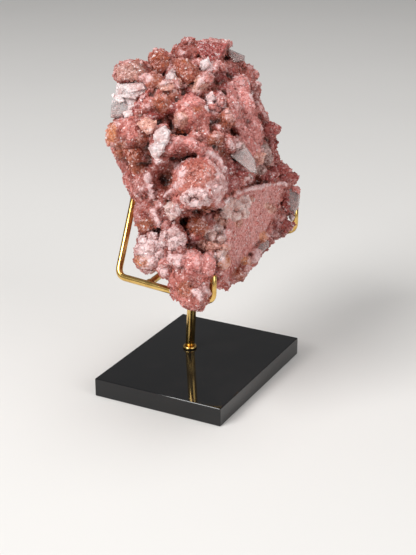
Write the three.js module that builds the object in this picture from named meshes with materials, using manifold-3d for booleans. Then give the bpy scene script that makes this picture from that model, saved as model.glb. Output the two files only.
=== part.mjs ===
// Dogtooth calcite cluster on a brass easel stand with a polished black base.
// Millimetres, +Z up. The origin is the centre of the base's underside. +X is the way the
// easel faces, and Y runs along the base's long side.
import * as THREE from 'three';
import { mergeVertices } from 'three/addons/utils/BufferGeometryUtils.js';
import { ConvexGeometry } from 'three/addons/geometries/ConvexGeometry.js';
import Module from 'manifold-3d';

const wasm = await Module();
wasm.setup();
const { Manifold } = wasm;

// Driving dimensions
const BASE_WIDTH = 80;
const BASE_LENGTH = 104.5;
const BASE_THICKNESS = 10.8;
const BASE_BEVEL = 0.6;
const POST_RADIUS = 2.75;
const POST_FOOT = [-11.2, 9.9];
const POST_TOP_X = -8;
const COLLAR_RADIUS = 4.1;
const COLLAR_HEIGHT = 1.5;
const COLLAR_CHAMFER = 0.4;
const WIRE_RADIUS = 1.9;
const WIRE_BEND = 5.5;
const WIRE_HEIGHT = 74;
const EASEL_TURN = 3.1;
const EASEL_MIDDLE_Y = 3.1;
const ARM_BACK = [-28.8, 47.8];
const ARM_FRONT = [33.9, 60.2];
const HOOK_HEIGHT = 15;
const PRONG_RISE = 62;
const PRONG_INWARD = 36;
const PRONG_BACK = 1;
const BRAZE_RADII = [3.2, 4.2, 2.8];
const BRAZE_DROP = 1;
const GAP = 0.3;

// Extra room that the stone keeps to the arms, the post and the brazed cross bar
const ARM_ROOM = 0.3;
const POST_ROOM = 0.1;
const BAR_ROOM = 1.4;

// Sides and steps of the round pieces
const WIRE_SIDES = 8;
const ARM_STEPS = 20;
const POST_SIDES = 16;
const COLLAR_SIDES = 14;
const CUTTER_SIDES = { arm: 6, post: 12, bar: 8 };
const CUTTER_STEPS = 16;

// The face sheet: a flat sheet through the middle of the stone, square to the side that its
// crystals are laid out on. Places on it are [across, up] in mm, carried to the stone along
// sight lines from one viewpoint.
const SHEET_CENTRE = new THREE.Vector3(0.3, 5, 130);
const SHEET_TURN = 24.4;
const SHEET_TILT = 21.74;
const VIEWPOINT = { across: 2.4, up: -65.3, out: 674.6 };

const degrees = THREE.MathUtils.degToRad;
const outAxis = new THREE.Vector3(
  Math.sin(degrees(SHEET_TURN)) * Math.cos(degrees(SHEET_TILT)),
  -Math.cos(degrees(SHEET_TURN)) * Math.cos(degrees(SHEET_TILT)),
  Math.sin(degrees(SHEET_TILT)),
);
const acrossAxis = new THREE.Vector3(Math.cos(degrees(SHEET_TURN)), Math.sin(degrees(SHEET_TURN)), 0);
const upAxis = outAxis.clone().cross(acrossAxis);

// A vector given as across, up and out of the sheet
function sheetVector(across, up, out) {
  return new THREE.Vector3()
    .addScaledVector(acrossAxis, across)
    .addScaledVector(upAxis, up)
    .addScaledVector(outAxis, out);
}

const viewpoint = sheetVector(VIEWPOINT.across, VIEWPOINT.up, VIEWPOINT.out).add(SHEET_CENTRE);

// Vertices closer than this are one
const MERGE_DISTANCE = 1e-4;

// Closed triangle mesh to solid, and back
function toSolid(geometry) {
  const plain = geometry.index ? geometry.clone() : geometry;
  plain.deleteAttribute('normal');
  plain.deleteAttribute('uv');
  const merged = mergeVertices(plain, MERGE_DISTANCE);
  return new Manifold(new wasm.Mesh({
    numProp: 3,
    vertProperties: Float32Array.from(merged.attributes.position.array),
    triVerts: Uint32Array.from(merged.index.array),
  }));
}

function toGeometry(solid) {
  const mesh = solid.getMesh();
  const geometry = new THREE.BufferGeometry();
  geometry.setAttribute('position', new THREE.BufferAttribute(mesh.vertProperties, 3));
  geometry.setIndex(new THREE.BufferAttribute(mesh.triVerts, 1));
  geometry.computeVertexNormals();
  return geometry;
}

// Repeatable random numbers from 0 to 1, by a linear congruence
const CONGRUENCE = { factor: 1664525, step: 1013904223, range: 2 ** 32 };

function randomSource(seed) {
  let state = seed;
  return () => {
    state = (state * CONGRUENCE.factor + CONGRUENCE.step) % CONGRUENCE.range;
    return state / CONGRUENCE.range;
  };
}

function between([low, high], share) {
  return low + (high - low) * share;
}

// Brass wire along a bent line, with rounded corners
function wirePath(points, bend) {
  const path = new THREE.CurvePath();
  let start = points[0];
  for (let i = 1; i < points.length - 1; i += 1) {
    const corner = points[i];
    const before = corner.clone().add(points[i - 1].clone().sub(corner).setLength(bend));
    const after = corner.clone().add(points[i + 1].clone().sub(corner).setLength(bend));
    path.add(new THREE.LineCurve3(start, before));
    path.add(new THREE.QuadraticBezierCurve3(before, corner, after));
    start = after;
  }
  path.add(new THREE.LineCurve3(start, points[points.length - 1]));
  return path;
}

function wire(points, radius, sides, steps, bend = WIRE_BEND) {
  const section = new THREE.Shape();
  for (let i = 0; i < sides; i += 1) {
    const angle = (2 * Math.PI * (i + 0.5)) / sides;
    const place = [radius * Math.cos(angle), radius * Math.sin(angle)];
    if (i === 0) section.moveTo(...place);
    else section.lineTo(...place);
  }
  section.closePath();
  return new THREE.ExtrudeGeometry(section, {
    steps,
    bevelEnabled: false,
    curveSegments: 1,
    extrudePath: points.length > 2 ? wirePath(points, bend) : new THREE.LineCurve3(...points),
  });
}

// One arm of the easel, from its hook, along its bar, up its prong. side is -1 or 1.
function armPoints(side) {
  const [backX, backSpread] = ARM_BACK;
  const [frontX, frontSpread] = ARM_FRONT;
  const at = (x, spread, z) => new THREE.Vector3(x, EASEL_MIDDLE_Y + side * spread, z);
  return [
    at(frontX, frontSpread, WIRE_HEIGHT + HOOK_HEIGHT),
    at(frontX, frontSpread, WIRE_HEIGHT),
    at(backX, backSpread, WIRE_HEIGHT),
    at(backX - PRONG_BACK, backSpread - PRONG_INWARD, WIRE_HEIGHT + PRONG_RISE),
  ];
}

// Where the cross bar meets an arm, on the arm's centre line
function crossBarEnd(side) {
  const share = (POST_TOP_X - ARM_BACK[0]) / (ARM_FRONT[0] - ARM_BACK[0]);
  const spread = THREE.MathUtils.lerp(ARM_BACK[1], ARM_FRONT[1], share);
  return new THREE.Vector3(POST_TOP_X, EASEL_MIDDLE_Y + side * spread, WIRE_HEIGHT);
}

const postLine = [
  new THREE.Vector3(...POST_FOOT, BASE_THICKNESS + 2 * GAP),
  new THREE.Vector3(POST_TOP_X, POST_FOOT[1], WIRE_HEIGHT - WIRE_RADIUS - GAP),
];

function lump(centre, radii) {
  const ball = new THREE.SphereGeometry(1, 7, 4);
  return toSolid(ball.scale(...radii).translate(centre.x, centre.y, centre.z));
}

// The cross bar, with a lump of braze where the post meets it
function crossBar(cutters) {
  const ends = [-1, 1].map(crossBarEnd);
  const pieces = [
    toSolid(wire(ends, WIRE_RADIUS, WIRE_SIDES, 1)),
    lump(new THREE.Vector3(POST_TOP_X, POST_FOOT[1], WIRE_HEIGHT - BRAZE_DROP), BRAZE_RADII),
  ];
  return largestPiece(Manifold.union(pieces).subtract(Manifold.union(cutters)));
}

// The stone's broken mass, as blocks with flat faces. Each block is the hull of its corners.
const STONE_BLOCKS = [
  // Lower half, resting between the hooks and the prongs
  [[-22, -22, 86], [-8, -50, 92], [10, -54, 84], [24, -54, 80], [29, -42, 74], [31, -20, 73],
    [31.5, 20, 73], [31, 50, 77], [20, 58, 86], [-8, 54, 86], [-24, 38, 88], [-18, -34, 118],
    [6, -54, 122], [30, -24, 118], [34, 30, 116], [26, 54, 112], [-8, 56, 114], [-25, 40, 118],
    [-26, -12, 118], [0, -30, 78], [0, 30, 78]],
  // Toe that hangs in front of the left arm
  [[14, -52, 88], [29, -50, 86], [31, -60, 76], [30, -64, 72], [25, -65.5, 71], [18, -65, 76],
    [10, -60, 92], [24, -60, 96]],
  // Bulging middle
  [[-22, -44, 132], [-20, -50, 152], [2, -58, 152], [15, -50, 156], [24, -42, 120], [4, -57, 112],
    [-8, -54, 118], [-16, -40, 122], [30, -24, 150], [34, -14, 122], [-20, 10, 150], [10, 10, 110],
    [33, 14, 134]],
  // Upper left shoulder
  [[-25, -52, 158], [-24, -49, 174], [-22, -46, 185], [-23, -22, 187], [-25, 6, 184], [-8, -42, 184],
    [4, -48, 166], [2, -54, 150], [-22, -44, 146], [-26, 4, 140], [8, 4, 178]],
  // Upper right shoulder
  [[30, 16, 152], [24, 20, 168], [18, 28, 177], [9, 22, 188], [-2, 6, 190], [-10, -4, 189],
    [-22, 8, 182], [-24, 32, 168], [-22, 48, 148], [2, 52, 150], [22, 48, 140], [33, 32, 128],
    [33, -12, 130], [27, -26, 152], [17, -32, 168], [0, -34, 180], [-22, 50, 122], [8, 56, 120],
    [30, 40, 114], [-4, -34, 150]],
  // Right wing above the second hook
  [[36, 54, 98], [36, 50, 112], [35, 26, 124], [20, 56, 128], [-10, 58, 126], [34, 28, 92],
    [31, 56, 82], [18, 62, 96], [-10, 60, 98]],
  // Middle of the back, between the prongs
  [[-25, -36, 120], [-26, -32, 146], [-23, -20, 162], [-26, 4, 106], [-27, -2, 134], [-25, 12, 154],
    [-24, 34, 158], [-26, 40, 120], [-24, 48, 134], [4, -30, 118], [4, 44, 116], [4, 10, 164]],
  // Right end, from the wing up to the shoulder
  [[-20, 54, 116], [-20, 50, 146], [-4, 60, 122], [-2, 55, 142], [12, 58, 126], [16, 51, 140],
    [24, 46, 134], [28, 38, 126], [31, 26, 138], [0, 20, 120], [4, 30, 150]],
];

// Crystals on the laid out side: across, up, half width, half height, reach out of the stone,
// lean across, lean up, bluntness of the end
const FACE_CRYSTALS = [
  // Top left
  [-39.5, 47, 9, 7.5, 8, -0.25, 0.3, 0.75],
  [-45, 46, 5, 5, 6, -0.3, 0.2, 0.75],
  [-34, 48, 6, 6, 7, 0.1, 0.4, 0.7],
  [-24, 50, 7, 6.5, 12, 0.05, 0.9, 0.75],
  [-17, 54, 5, 5, 6, 0, 0.8, 0.7],
  // Top knob
  [-8.5, 61, 5.5, 5, 6.5, -0.1, 0.8, 0.85],
  [-5.5, 58.5, 5, 4.5, 6, 0.3, 0.2, 0.8],
  [-11.5, 55.5, 6, 5, 6, -0.1, 0.2, 0.75],
  // White blades under the top
  [-5, 52.5, 5, 4, 8, 1.2, -0.2, 0.55],
  [2.5, 49.5, 6, 5, 8, 0.6, 0.6, 0.5],
  [10, 50.5, 4.5, 4.5, 7, -0.3, 0.4, 0.6],
  [-1, 43.5, 7.5, 5.5, 8, -0.4, -0.4, 0.6],
  [-14, 50, 5, 6, 5, 0, 0.5, 0.7],
  [-9, 46, 5.5, 6, 6, 0.2, 0.3, 0.65],
  [-4, 38, 5.5, 4, 5, 0.2, -0.4, 0.6],
  [-18, 45.5, 3.4, 4.4, 7, 0.3, 0.7, 0.65],
  // Upper left slope
  [-28.5, 43, 7, 6, 7, -0.1, 0.2, 0.65],
  [-25, 34.5, 7, 6.5, 7, -0.1, 0.1, 0.7],
  [-31.5, 29.5, 6.5, 5.5, 8, -0.3, 0, 0.7],
  [-17, 38, 5.5, 5, 6, 0.2, 0.3, 0.6],
  [-22.5, 26, 6, 5.5, 6, 0.1, 0.1, 0.65],
  // Crust cluster
  [6.5, 32.5, 4.6, 4.6, 9, 0.1, 0.5, 0.5],
  [10, 31, 4, 4, 7, 0.9, 0.1, 0.5],
  [5, 28.5, 6, 4.4, 6, -0.1, -0.1, 0.7],
  [18.5, 25.5, 3.8, 5, 10, -0.3, 0.8, 0.55],
  [12, 21, 7, 6.5, 10, 0.15, 0.5, 0.6],
  [19, 16, 5, 5, 6, 0.3, -0.1, 0.6],
  // Central crystal
  [-8, 23.5, 10.5, 11, 13, -0.05, -0.4, 0.6],
  [-13, 23.5, 5.5, 6, 9, -0.4, 0.1, 0.7],
  [1.5, 18, 6.5, 6, 7, 0.2, 0.1, 0.6],
  // Left lobe
  [-40.5, 12.5, 11.5, 11, 11, -0.45, -0.05, 0.75],
  [-48.5, 15.5, 5, 6, 4.5, -0.8, 0.1, 0.75],
  [-34, 7, 7, 6, 7, 0.1, -0.4, 0.6],
  [-41, -1, 6, 7, 6, -0.4, -0.2, 0.7],
  [-36, -9.5, 7, 8, 7, -0.3, -0.4, 0.65],
  [-30, -4.5, 6, 5.5, 6, -0.1, 0.3, 0.7],
  [-13.5, -7.5, 3.5, 6.5, 7, 0.1, 0.3, 0.5],
  [-30.5, -16, 4.4, 6.5, 7, 0.1, -0.5, 0.6],
  [-22, -19, 5, 4, 6, 0.2, -0.4, 0.6],
  // Curved band
  [-14, 7, 9, 6.5, 9, -0.35, 0.25, 0.8],
  [-6, 7, 7.5, 6.5, 10, 0.05, 0.4, 0.8],
  [2, 3.5, 7, 6.5, 10, 0.25, 0.45, 0.8],
  [7, -1.5, 6, 7.5, 9, 0.5, 0.3, 0.8],
  [10, -10, 4.6, 7.5, 8, 0.6, 0.1, 0.75],
  // Big dome
  [-3, -13.5, 14.5, 13.5, 16, -0.02, -0.05, 0.8],
  [-9, -20.5, 8, 6.5, 12, -0.2, -0.4, 0.75],
  [6, -19.5, 7, 6, 10, 0.4, -0.3, 0.7],
  // Stubby row
  [2, 9.5, 6, 5.5, 7, -0.1, 0.2, 0.75],
  [10, 9.5, 6.5, 6.5, 8, 0.1, 0.3, 0.75],
  [18, 9, 5.4, 5.4, 8, 0.2, 0.4, 0.75],
  // Red crystals by the blade
  [16, -7, 6, 6, 11, 1.2, -0.15, 0.5],
  [16, -14, 6, 6, 7, 0.3, -0.2, 0.65],
  // Right edge
  [26.5, 47, 4, 4.5, 4, 0.6, 0.3, 0.65],
  [26, 38.5, 4.4, 5.5, 5, 0.7, 0.1, 0.65],
  [30, 25.5, 4.4, 6.5, 5, 0.7, 0.2, 0.6],
  [31, 4, 4.4, 6.5, 9, -0.1, 0.6, 0.7],
  [36, 5, 5, 7, 5, 0.5, 0.1, 0.7],
  [34.5, -6, 7, 6, 6, 0.4, 0.2, 0.6],
  [32, -13.5, 6, 4.4, 5, 0.2, 0.2, 0.6],
  // Bare teeth on the right edge
  [33.5, 16.5, 6.5, 6, 10, 3, 0.3, 0.4],
  [36, 0.5, 5, 5, 7, 2.5, 0.1, 0.4],
  [39, -5, 6, 5, 11, 3, 0.15, 0.35],
  [42, -10.5, 7, 6.5, 12, 3, 0.12, 0.35],
  [42, -36.5, 6, 5, 9.5, 2.5, 0, 0.4],
  // Pale lumps on the great plate
  [8, -28.5, 4.2, 6.5, 6, -0.1, 0.2, 0.8],
  [18, -29, 7.5, 8, 8, 0.1, 0.2, 0.8],
  [37, -26.5, 4.6, 4.4, 6, 0.1, 0.1, 0.7],
  [7.5, -40.5, 6, 6.5, 7, 0.1, 0.3, 0.8],
  [2.5, -48, 6, 4.6, 6, -0.1, -0.2, 0.75],
  [8.5, -53.5, 5, 4.4, 6, 0.1, -0.4, 0.75],
  [-2, -40, 6.5, 6.5, 6, -0.3, 0.2, 0.65],
  // Lower left lobes
  [-29.5, -31, 7.5, 8.5, 9, -0.4, 0.1, 0.8],
  [-23, -30, 6.5, 7, 7, -0.1, 0.2, 0.7],
  [-17, -28.5, 5.6, 5.6, 8, 0.05, 0.1, 0.85],
  [-26.5, -49, 10, 11, 13, -0.35, 0.05, 0.8],
  [-15, -44.5, 6.5, 8.5, 9, 0.2, 0.3, 0.8],
  [-29.5, -55.5, 7, 6, 8, -0.4, -0.4, 0.75],
  [-21.5, -38, 6, 4.6, 7, -0.1, 0.3, 0.65],
  [-9.5, -33, 5, 4.6, 5, 0.2, 0.2, 0.65],
  // Lower body
  [-15, -58.5, 11, 10, 10, -0.2, -0.2, 0.75],
  [-3, -60, 9.5, 9, 9, 0.1, -0.1, 0.7],
  [-9.5, -70, 10, 9, 9, -0.1, -0.3, 0.75],
  [-5.5, -78, 8, 6.5, 7, 0.1, -0.3, 0.8],
  // Lower fringe
  [25.5, -55, 5.4, 5.4, 5, 0.5, -0.4, 0.7],
  [18, -62.5, 7, 6, 5, 0.3, -0.5, 0.7],
  [11.5, -68.5, 3.2, 3.2, 5, 0.4, -1.2, 0.5],
  [31, -43, 5, 5, 4, 0.4, -0.3, 0.6],
  [42, -39, 6, 4.4, 5, 0.4, -0.5, 0.6],
  [37, -42, 5, 4.4, 4, 0.3, -0.5, 0.6],
];

// Flat plates and blades: how far the front stands out, how deep the plate runs, its corners
const PLATES = [
  // Flat topped crystal and the clear one beside it
  [6, 14, [[-3, 66], [14, 66], [9.5, 55.5], [-2.5, 55.5]]],
  [1, 18, [[11.5, 62], [14, 61.5], [23, 57.5], [22, 54.5], [12, 54.5]]],
  // Cleaved corner, pale shard, pink crystal and white plate
  [3, 10, [[-48, 42], [-39.5, 42.5], [-31, 44.5], [-30, 38], [-35.5, 33], [-42, 26.5], [-51, 24],
    [-49.5, 34.5]]],
  [7, 6, [[-26, 40.5], [-21, 44.5], [-14, 45], [-11, 40.5], [-18.5, 39]]],
  [10, 8, [[-38, 20], [-32, 23.5], [-27.5, 21.5], [-26.5, 18], [-30, 13.5], [-35, 16]]],
  [10, 9, [[-29, 13], [-25.5, 17.5], [-21.5, 19.5], [-18.5, 16.5], [-20, 10.5], [-25.5, 0.5],
    [-30, 5.5]]],
  // Long slope under the right shoulder
  [4, 10, [[17, 42], [24, 44.5], [28.5, 33.5], [30, 26], [24, 22], [20, 30]]],
  [3, 10, [[22, 24], [30, 28], [33.5, 21], [32.5, 8], [28, 5.5], [22, 17]]],
  // Cleaved blade and its splinter
  [10, 4, [[15, 3], [24, 6.5], [28, 0], [29.5, -7.5], [26, -6]]],
  [7, 5, [[23, -3.5], [26, -5.5], [28, -10], [26.5, -11]]],
  // Great plate across the lower right: its upper ledge, its middle and its smooth lower face
  [6, 12, [[13, -22.5], [23.5, -16.5], [48, -12.5], [47, -19], [26, -24], [14, -28]]],
  [2.5, 12, [[13, -24], [30, -20], [47, -16], [47, -29], [36, -35], [22, -39], [8, -34]]],
  [4, 12, [[12, -37], [24, -35], [36, -34.5], [31, -41], [23, -51], [10, -71.5], [5, -63],
    [10, -52]]],
  // Clear crystals at its end and in the fringe
  [3, 9, [[46.5, -14.5], [52, -15], [53.5, -18.5], [53, -25.5], [49.5, -31], [47, -26]]],
  [2, 9, [[27.5, -46.5], [30, -44.5], [35.5, -44.5], [36, -48.5], [29, -52]]],
];

// Hollows between the crystals: across, up, half width, half height, depth
const HOLLOWS = [
  [-17, 0, 5, 3.5, 7],
  [-21.5, -12, 6, 6, 6],
  [-12, -34.5, 3, 3, 6],
  [9, 44, 5, 5, 5],
  [15, -1, 4.5, 3.5, 7],
  [22, -11, 4, 2.5, 6],
  [-2, -54, 6, 3, 6],
  [-32, 1, 6, 3, 5],
];

function blockSolid(corners) {
  return toSolid(new ConvexGeometry(corners.map((corner) => new THREE.Vector3(...corner))));
}

const caster = new THREE.Raycaster();
const SEAT_STEP = 0.02;

// The first point of the stone on the sight line through a place on the sheet. A place past
// the stone's edge takes the depth of the nearest place that meets it.
function seatOnStone(stone, across, up) {
  for (let share = 1; share > 0; share -= SEAT_STEP) {
    const onSheet = sheetVector(across * share, up * share, 0).add(SHEET_CENTRE);
    caster.set(viewpoint, onSheet.sub(viewpoint).normalize());
    const [hit] = caster.intersectObject(stone, false);
    if (hit) {
      const out = hit.point.clone().sub(SHEET_CENTRE).dot(outAxis);
      const onLine = sheetVector(across, up, 0).add(SHEET_CENTRE).sub(viewpoint);
      const seat = viewpoint.clone().addScaledVector(onLine, 1 - out / VIEWPOINT.out);
      return { seat, normal: hit.face.normal };
    }
  }
  throw new Error(`no stone under ${across}, ${up}`);
}

// Rings of a tooth, as shares of its reach and width, and its root and tip
const BELT = { height: 0.3, swing: 0.1, slant: 0.1 };
const SHOULDER = { height: 0.76, swing: 0.12, slant: 0.05 };
const SMALL_SHOULDER = { ...SHOULDER, height: 0.92 };
const ROOT_DEPTH = 1.1;
const TIP_SHIFT = 0.12;
const NEARLY_ALONG = 0.05;

// One scalenohedral tooth, closed to a point inside the stone. Its belt has six corners that
// swing in and out by turns, as a dogtooth crystal's do. A large tooth has a six cornered
// shoulder and a tip, and a small one ends in three corners.
function toothSolid(seat, axis, [halfWidth, halfHeight], reach, bluntness, spin, large) {
  const side = acrossAxis.clone().addScaledVector(axis, -acrossAxis.dot(axis));
  if (side.lengthSq() < NEARLY_ALONG) side.copy(upAxis).addScaledVector(axis, -upAxis.dot(axis));
  side.normalize();
  const rise = axis.clone().cross(side);
  const place = (x, y, z) => seat.clone()
    .addScaledVector(side, x * halfWidth)
    .addScaledVector(rise, y * halfHeight)
    .addScaledVector(axis, z);
  const corner = (index, width, ring) => {
    const swing = index % 2 ? 1 : -1;
    const angle = spin + (index * Math.PI) / 3;
    const radius = width * (1 + swing * ring.swing);
    return place(radius * Math.cos(angle), radius * Math.sin(angle),
      reach * (ring.height + swing * ring.slant));
  };
  const shoulder = large ? SHOULDER : SMALL_SHOULDER;
  const corners = [place(0, 0, -ROOT_DEPTH * Math.max(halfWidth, halfHeight))];
  for (let i = 0; i < 6; i += 1) {
    corners.push(corner(i, 1, BELT));
    if (large || i % 2) corners.push(corner(i, bluntness, shoulder));
  }
  if (large) corners.push(place(TIP_SHIFT, 0, reach));
  return toSolid(new ConvexGeometry(corners));
}

function plateSolid(stone, [standOut, depth, corners]) {
  const seats = corners.map(([across, up]) => seatOnStone(stone, across, up));
  const hull = seats.flatMap(({ seat }) => [
    seat.clone().addScaledVector(outAxis, standOut),
    seat.clone().addScaledVector(outAxis, -depth),
  ]);
  return toSolid(new ConvexGeometry(hull));
}

function hollowSolid(stone, [across, up, halfWidth, halfHeight, depth]) {
  const shape = new THREE.IcosahedronGeometry(1, 0).scale(halfWidth, halfHeight, depth);
  shape.applyMatrix4(new THREE.Matrix4().makeBasis(acrossAxis, upAxis, outAxis));
  const { seat } = seatOnStone(stone, across, up);
  return toSolid(shape.translate(seat.x, seat.y, seat.z));
}

// Crystals on the back, the ends and the underside, seated where rays from evenly spread
// directions meet the stone: first broad low ones, then smaller teeth
const HIDDEN_CRYSTALS = [
  { count: 46, seed: 12, size: [8, 15], reach: [0.3, 0.6], blunt: [0.6, 0.85], lean: 0.5 },
  { count: 30, seed: 23, size: [3.6, 7.6], reach: [0.7, 1.2], blunt: [0.4, 0.75], lean: 1 },
];
const HIDDEN_FROM = -0.12;
const HIDDEN_FLATNESS = 0.9;
const STONE_MIDDLE = new THREE.Vector3(2, 2, 128);
const RAY_START = 200;
const GOLDEN_ANGLE = Math.PI * (3 - Math.sqrt(5));

function hiddenCrystals(stone, { count, seed, size, reach, blunt, lean }) {
  const random = randomSource(seed);
  const teeth = [];
  for (let i = 0; i < count; i += 1) {
    const height = 1 - (2 * (i + 0.5)) / count;
    const angle = i * GOLDEN_ANGLE + seed;
    const flat = Math.sqrt(1 - height * height);
    const direction = new THREE.Vector3(flat * Math.cos(angle), flat * Math.sin(angle), height);
    const start = STONE_MIDDLE.clone().addScaledVector(direction, RAY_START);
    caster.set(start, direction.negate());
    const [hit] = caster.intersectObject(stone, false);
    const width = between(size, random());
    const tall = width * between(reach, random());
    const bluntness = between(blunt, random());
    const spin = random() * Math.PI;
    const jitter = new THREE.Vector3(random() - 0.5, random() - 0.5, random() - 0.5);
    if (!hit || hit.face.normal.dot(outAxis) > HIDDEN_FROM) continue;
    const axis = hit.face.normal.clone().addScaledVector(jitter, lean).normalize();
    const halfSize = [width, width * HIDDEN_FLATNESS];
    teeth.push(toothSolid(hit.point, axis, halfSize, tall, bluntness, spin, false));
  }
  return teeth;
}

function largestPiece(solid) {
  return solid.decompose().reduce((best, piece) => (piece.volume() > best.volume() ? piece : best));
}

const LARGE_TOOTH = 8.5;
const FACE_LEAN = 0.6;
const FACE_SEED = 5;

// The whole stone: blocks, laid out crystals and plates, hidden crystals, then hollows and room
// for the stand. A laid out crystal's axis leans with the face that it grows on.
function calcite(cutters) {
  const core = Manifold.union(STONE_BLOCKS.map(blockSolid));
  const stone = new THREE.Mesh(toGeometry(core), new THREE.MeshBasicMaterial({ side: THREE.DoubleSide }));
  const random = randomSource(FACE_SEED);
  const teeth = FACE_CRYSTALS.map(([across, up, width, height, reach, leanAcross, leanUp, blunt]) => {
    const { seat, normal } = seatOnStone(stone, across, up);
    const axis = sheetVector(leanAcross, leanUp, 1).addScaledVector(normal, FACE_LEAN).normalize();
    const large = width >= LARGE_TOOTH;
    return toothSolid(seat, axis, [width, height], reach, blunt, random() * Math.PI, large);
  });
  const plates = PLATES.map((plate) => plateSolid(stone, plate));
  const hollows = HOLLOWS.map((hollow) => hollowSolid(stone, hollow));
  const hidden = HIDDEN_CRYSTALS.flatMap((kind) => hiddenCrystals(stone, kind));
  const grown = Manifold.union([core, ...teeth, ...plates, ...hidden]);
  return largestPiece(grown.subtract(Manifold.union([...hollows, ...cutters])));
}

// Materials
const materials = {
  calcite: new THREE.MeshStandardMaterial({ color: 0xb5736a, roughness: 0.55, metalness: 0 }),
  brass: new THREE.MeshStandardMaterial({ color: 0xc79a3e, roughness: 0.25, metalness: 1 }),
  black: new THREE.MeshStandardMaterial({ color: 0x0c0c0d, roughness: 0.08, metalness: 0 }),
};

function piece(name, geometry, material) {
  const mesh = new THREE.Mesh(geometry, material);
  mesh.name = name;
  return mesh;
}

// Base: a slab with a narrow bevel round both faces
function baseGeometry() {
  const halfWidth = BASE_WIDTH / 2 - BASE_BEVEL;
  const halfLength = BASE_LENGTH / 2 - BASE_BEVEL;
  const outline = new THREE.Shape()
    .moveTo(-halfWidth, -halfLength)
    .lineTo(halfWidth, -halfLength)
    .lineTo(halfWidth, halfLength)
    .lineTo(-halfWidth, halfLength)
    .closePath();
  return new THREE.ExtrudeGeometry(outline, {
    depth: BASE_THICKNESS - 2 * BASE_BEVEL,
    bevelThickness: BASE_BEVEL,
    bevelSize: BASE_BEVEL,
    bevelSegments: 1,
  }).translate(0, 0, BASE_BEVEL);
}

function collarGeometry() {
  const inner = POST_RADIUS + GAP + POST_ROOM;
  const profile = [
    [inner, 0], [COLLAR_RADIUS, 0], [COLLAR_RADIUS, COLLAR_HEIGHT - COLLAR_CHAMFER],
    [COLLAR_RADIUS - COLLAR_CHAMFER, COLLAR_HEIGHT], [inner, COLLAR_HEIGHT], [inner, 0],
  ].map(([radius, height]) => new THREE.Vector2(radius, height));
  return new THREE.LatheGeometry(profile, COLLAR_SIDES)
    .rotateX(Math.PI / 2)
    .translate(...POST_FOOT, BASE_THICKNESS + GAP);
}

const armCutters = [-1, 1].map((side) => toSolid(
  wire(armPoints(side), WIRE_RADIUS + GAP + ARM_ROOM, CUTTER_SIDES.arm, CUTTER_STEPS),
));
const postCutter = toSolid(wire(postLine, POST_RADIUS + GAP + POST_ROOM, CUTTER_SIDES.post, 1));
const barCutter = toSolid(
  wire([-1, 1].map(crossBarEnd), WIRE_RADIUS + GAP + BAR_ROOM, CUTTER_SIDES.bar, 1),
);
const arm = (side) => wire(armPoints(side), WIRE_RADIUS, WIRE_SIDES, ARM_STEPS);

const easel = new THREE.Group();
easel.rotation.z = degrees(EASEL_TURN);
easel.add(
  piece('post_collar', collarGeometry(), materials.brass),
  piece('post', wire(postLine, POST_RADIUS, POST_SIDES, 1), materials.brass),
  piece('cross_bar', toGeometry(crossBar([...armCutters, postCutter])), materials.brass),
  piece('left_arm', arm(-1), materials.brass),
  piece('right_arm', arm(1), materials.brass),
  piece('calcite_cluster', toGeometry(calcite([...armCutters, postCutter, barCutter])), materials.calcite),
);

const specimen = new THREE.Group();
specimen.add(piece('base', baseGeometry(), materials.black), easel);

export default specimen;
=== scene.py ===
import math

import bmesh
import bpy
import numpy as np
from mathutils import Matrix, Vector, noise
from mathutils.bvhtree import BVHTree


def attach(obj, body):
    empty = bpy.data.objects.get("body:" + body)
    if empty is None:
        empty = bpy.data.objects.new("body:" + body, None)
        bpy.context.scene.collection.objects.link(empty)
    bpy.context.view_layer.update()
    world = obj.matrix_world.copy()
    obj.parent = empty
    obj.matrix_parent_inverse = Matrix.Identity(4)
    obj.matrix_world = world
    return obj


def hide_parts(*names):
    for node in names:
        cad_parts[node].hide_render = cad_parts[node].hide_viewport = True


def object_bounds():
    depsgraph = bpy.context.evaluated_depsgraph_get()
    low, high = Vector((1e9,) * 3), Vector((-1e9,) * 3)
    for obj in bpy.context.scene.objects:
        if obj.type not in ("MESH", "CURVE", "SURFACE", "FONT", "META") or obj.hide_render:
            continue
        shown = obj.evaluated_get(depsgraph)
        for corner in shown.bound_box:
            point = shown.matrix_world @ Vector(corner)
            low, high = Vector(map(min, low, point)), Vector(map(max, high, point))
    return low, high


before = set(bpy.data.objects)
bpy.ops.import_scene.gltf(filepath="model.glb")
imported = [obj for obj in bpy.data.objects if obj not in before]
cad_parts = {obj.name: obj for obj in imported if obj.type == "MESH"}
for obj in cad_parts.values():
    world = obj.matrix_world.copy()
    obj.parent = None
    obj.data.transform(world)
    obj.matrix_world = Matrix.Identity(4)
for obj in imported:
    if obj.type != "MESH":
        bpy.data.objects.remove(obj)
cad_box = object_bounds()

MM = 0.001

# The camera that the object is seen with, and the sheet: a flat sheet through the middle of the
# stone that faces the camera. Places on the stone's front are given on it, across and up in mm.
CAMERA_TURN = 27.478
CAMERA_DOWN = 21.743
CAMERA_PLACE_MM = (302.44, -571.27, 319.24)
CAMERA_LENS = 78.69
SHEET_DISTANCE_MM = 674.6
SHEET_SHIFT_MM = (-2.4, 65.3)

turn, down = math.radians(CAMERA_TURN), math.radians(CAMERA_DOWN)
FORWARD = np.array((-math.sin(turn) * math.cos(down), math.cos(turn) * math.cos(down), -math.sin(down)))
ACROSS = np.array((math.cos(turn), math.sin(turn), 0.0))
UP = np.cross(ACROSS, FORWARD)
OUT = -FORWARD
EYE = np.array(CAMERA_PLACE_MM) * MM
SHEET_CENTRE = EYE + (
    FORWARD * SHEET_DISTANCE_MM + ACROSS * SHEET_SHIFT_MM[0] + UP * SHEET_SHIFT_MM[1]
) * MM


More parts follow.
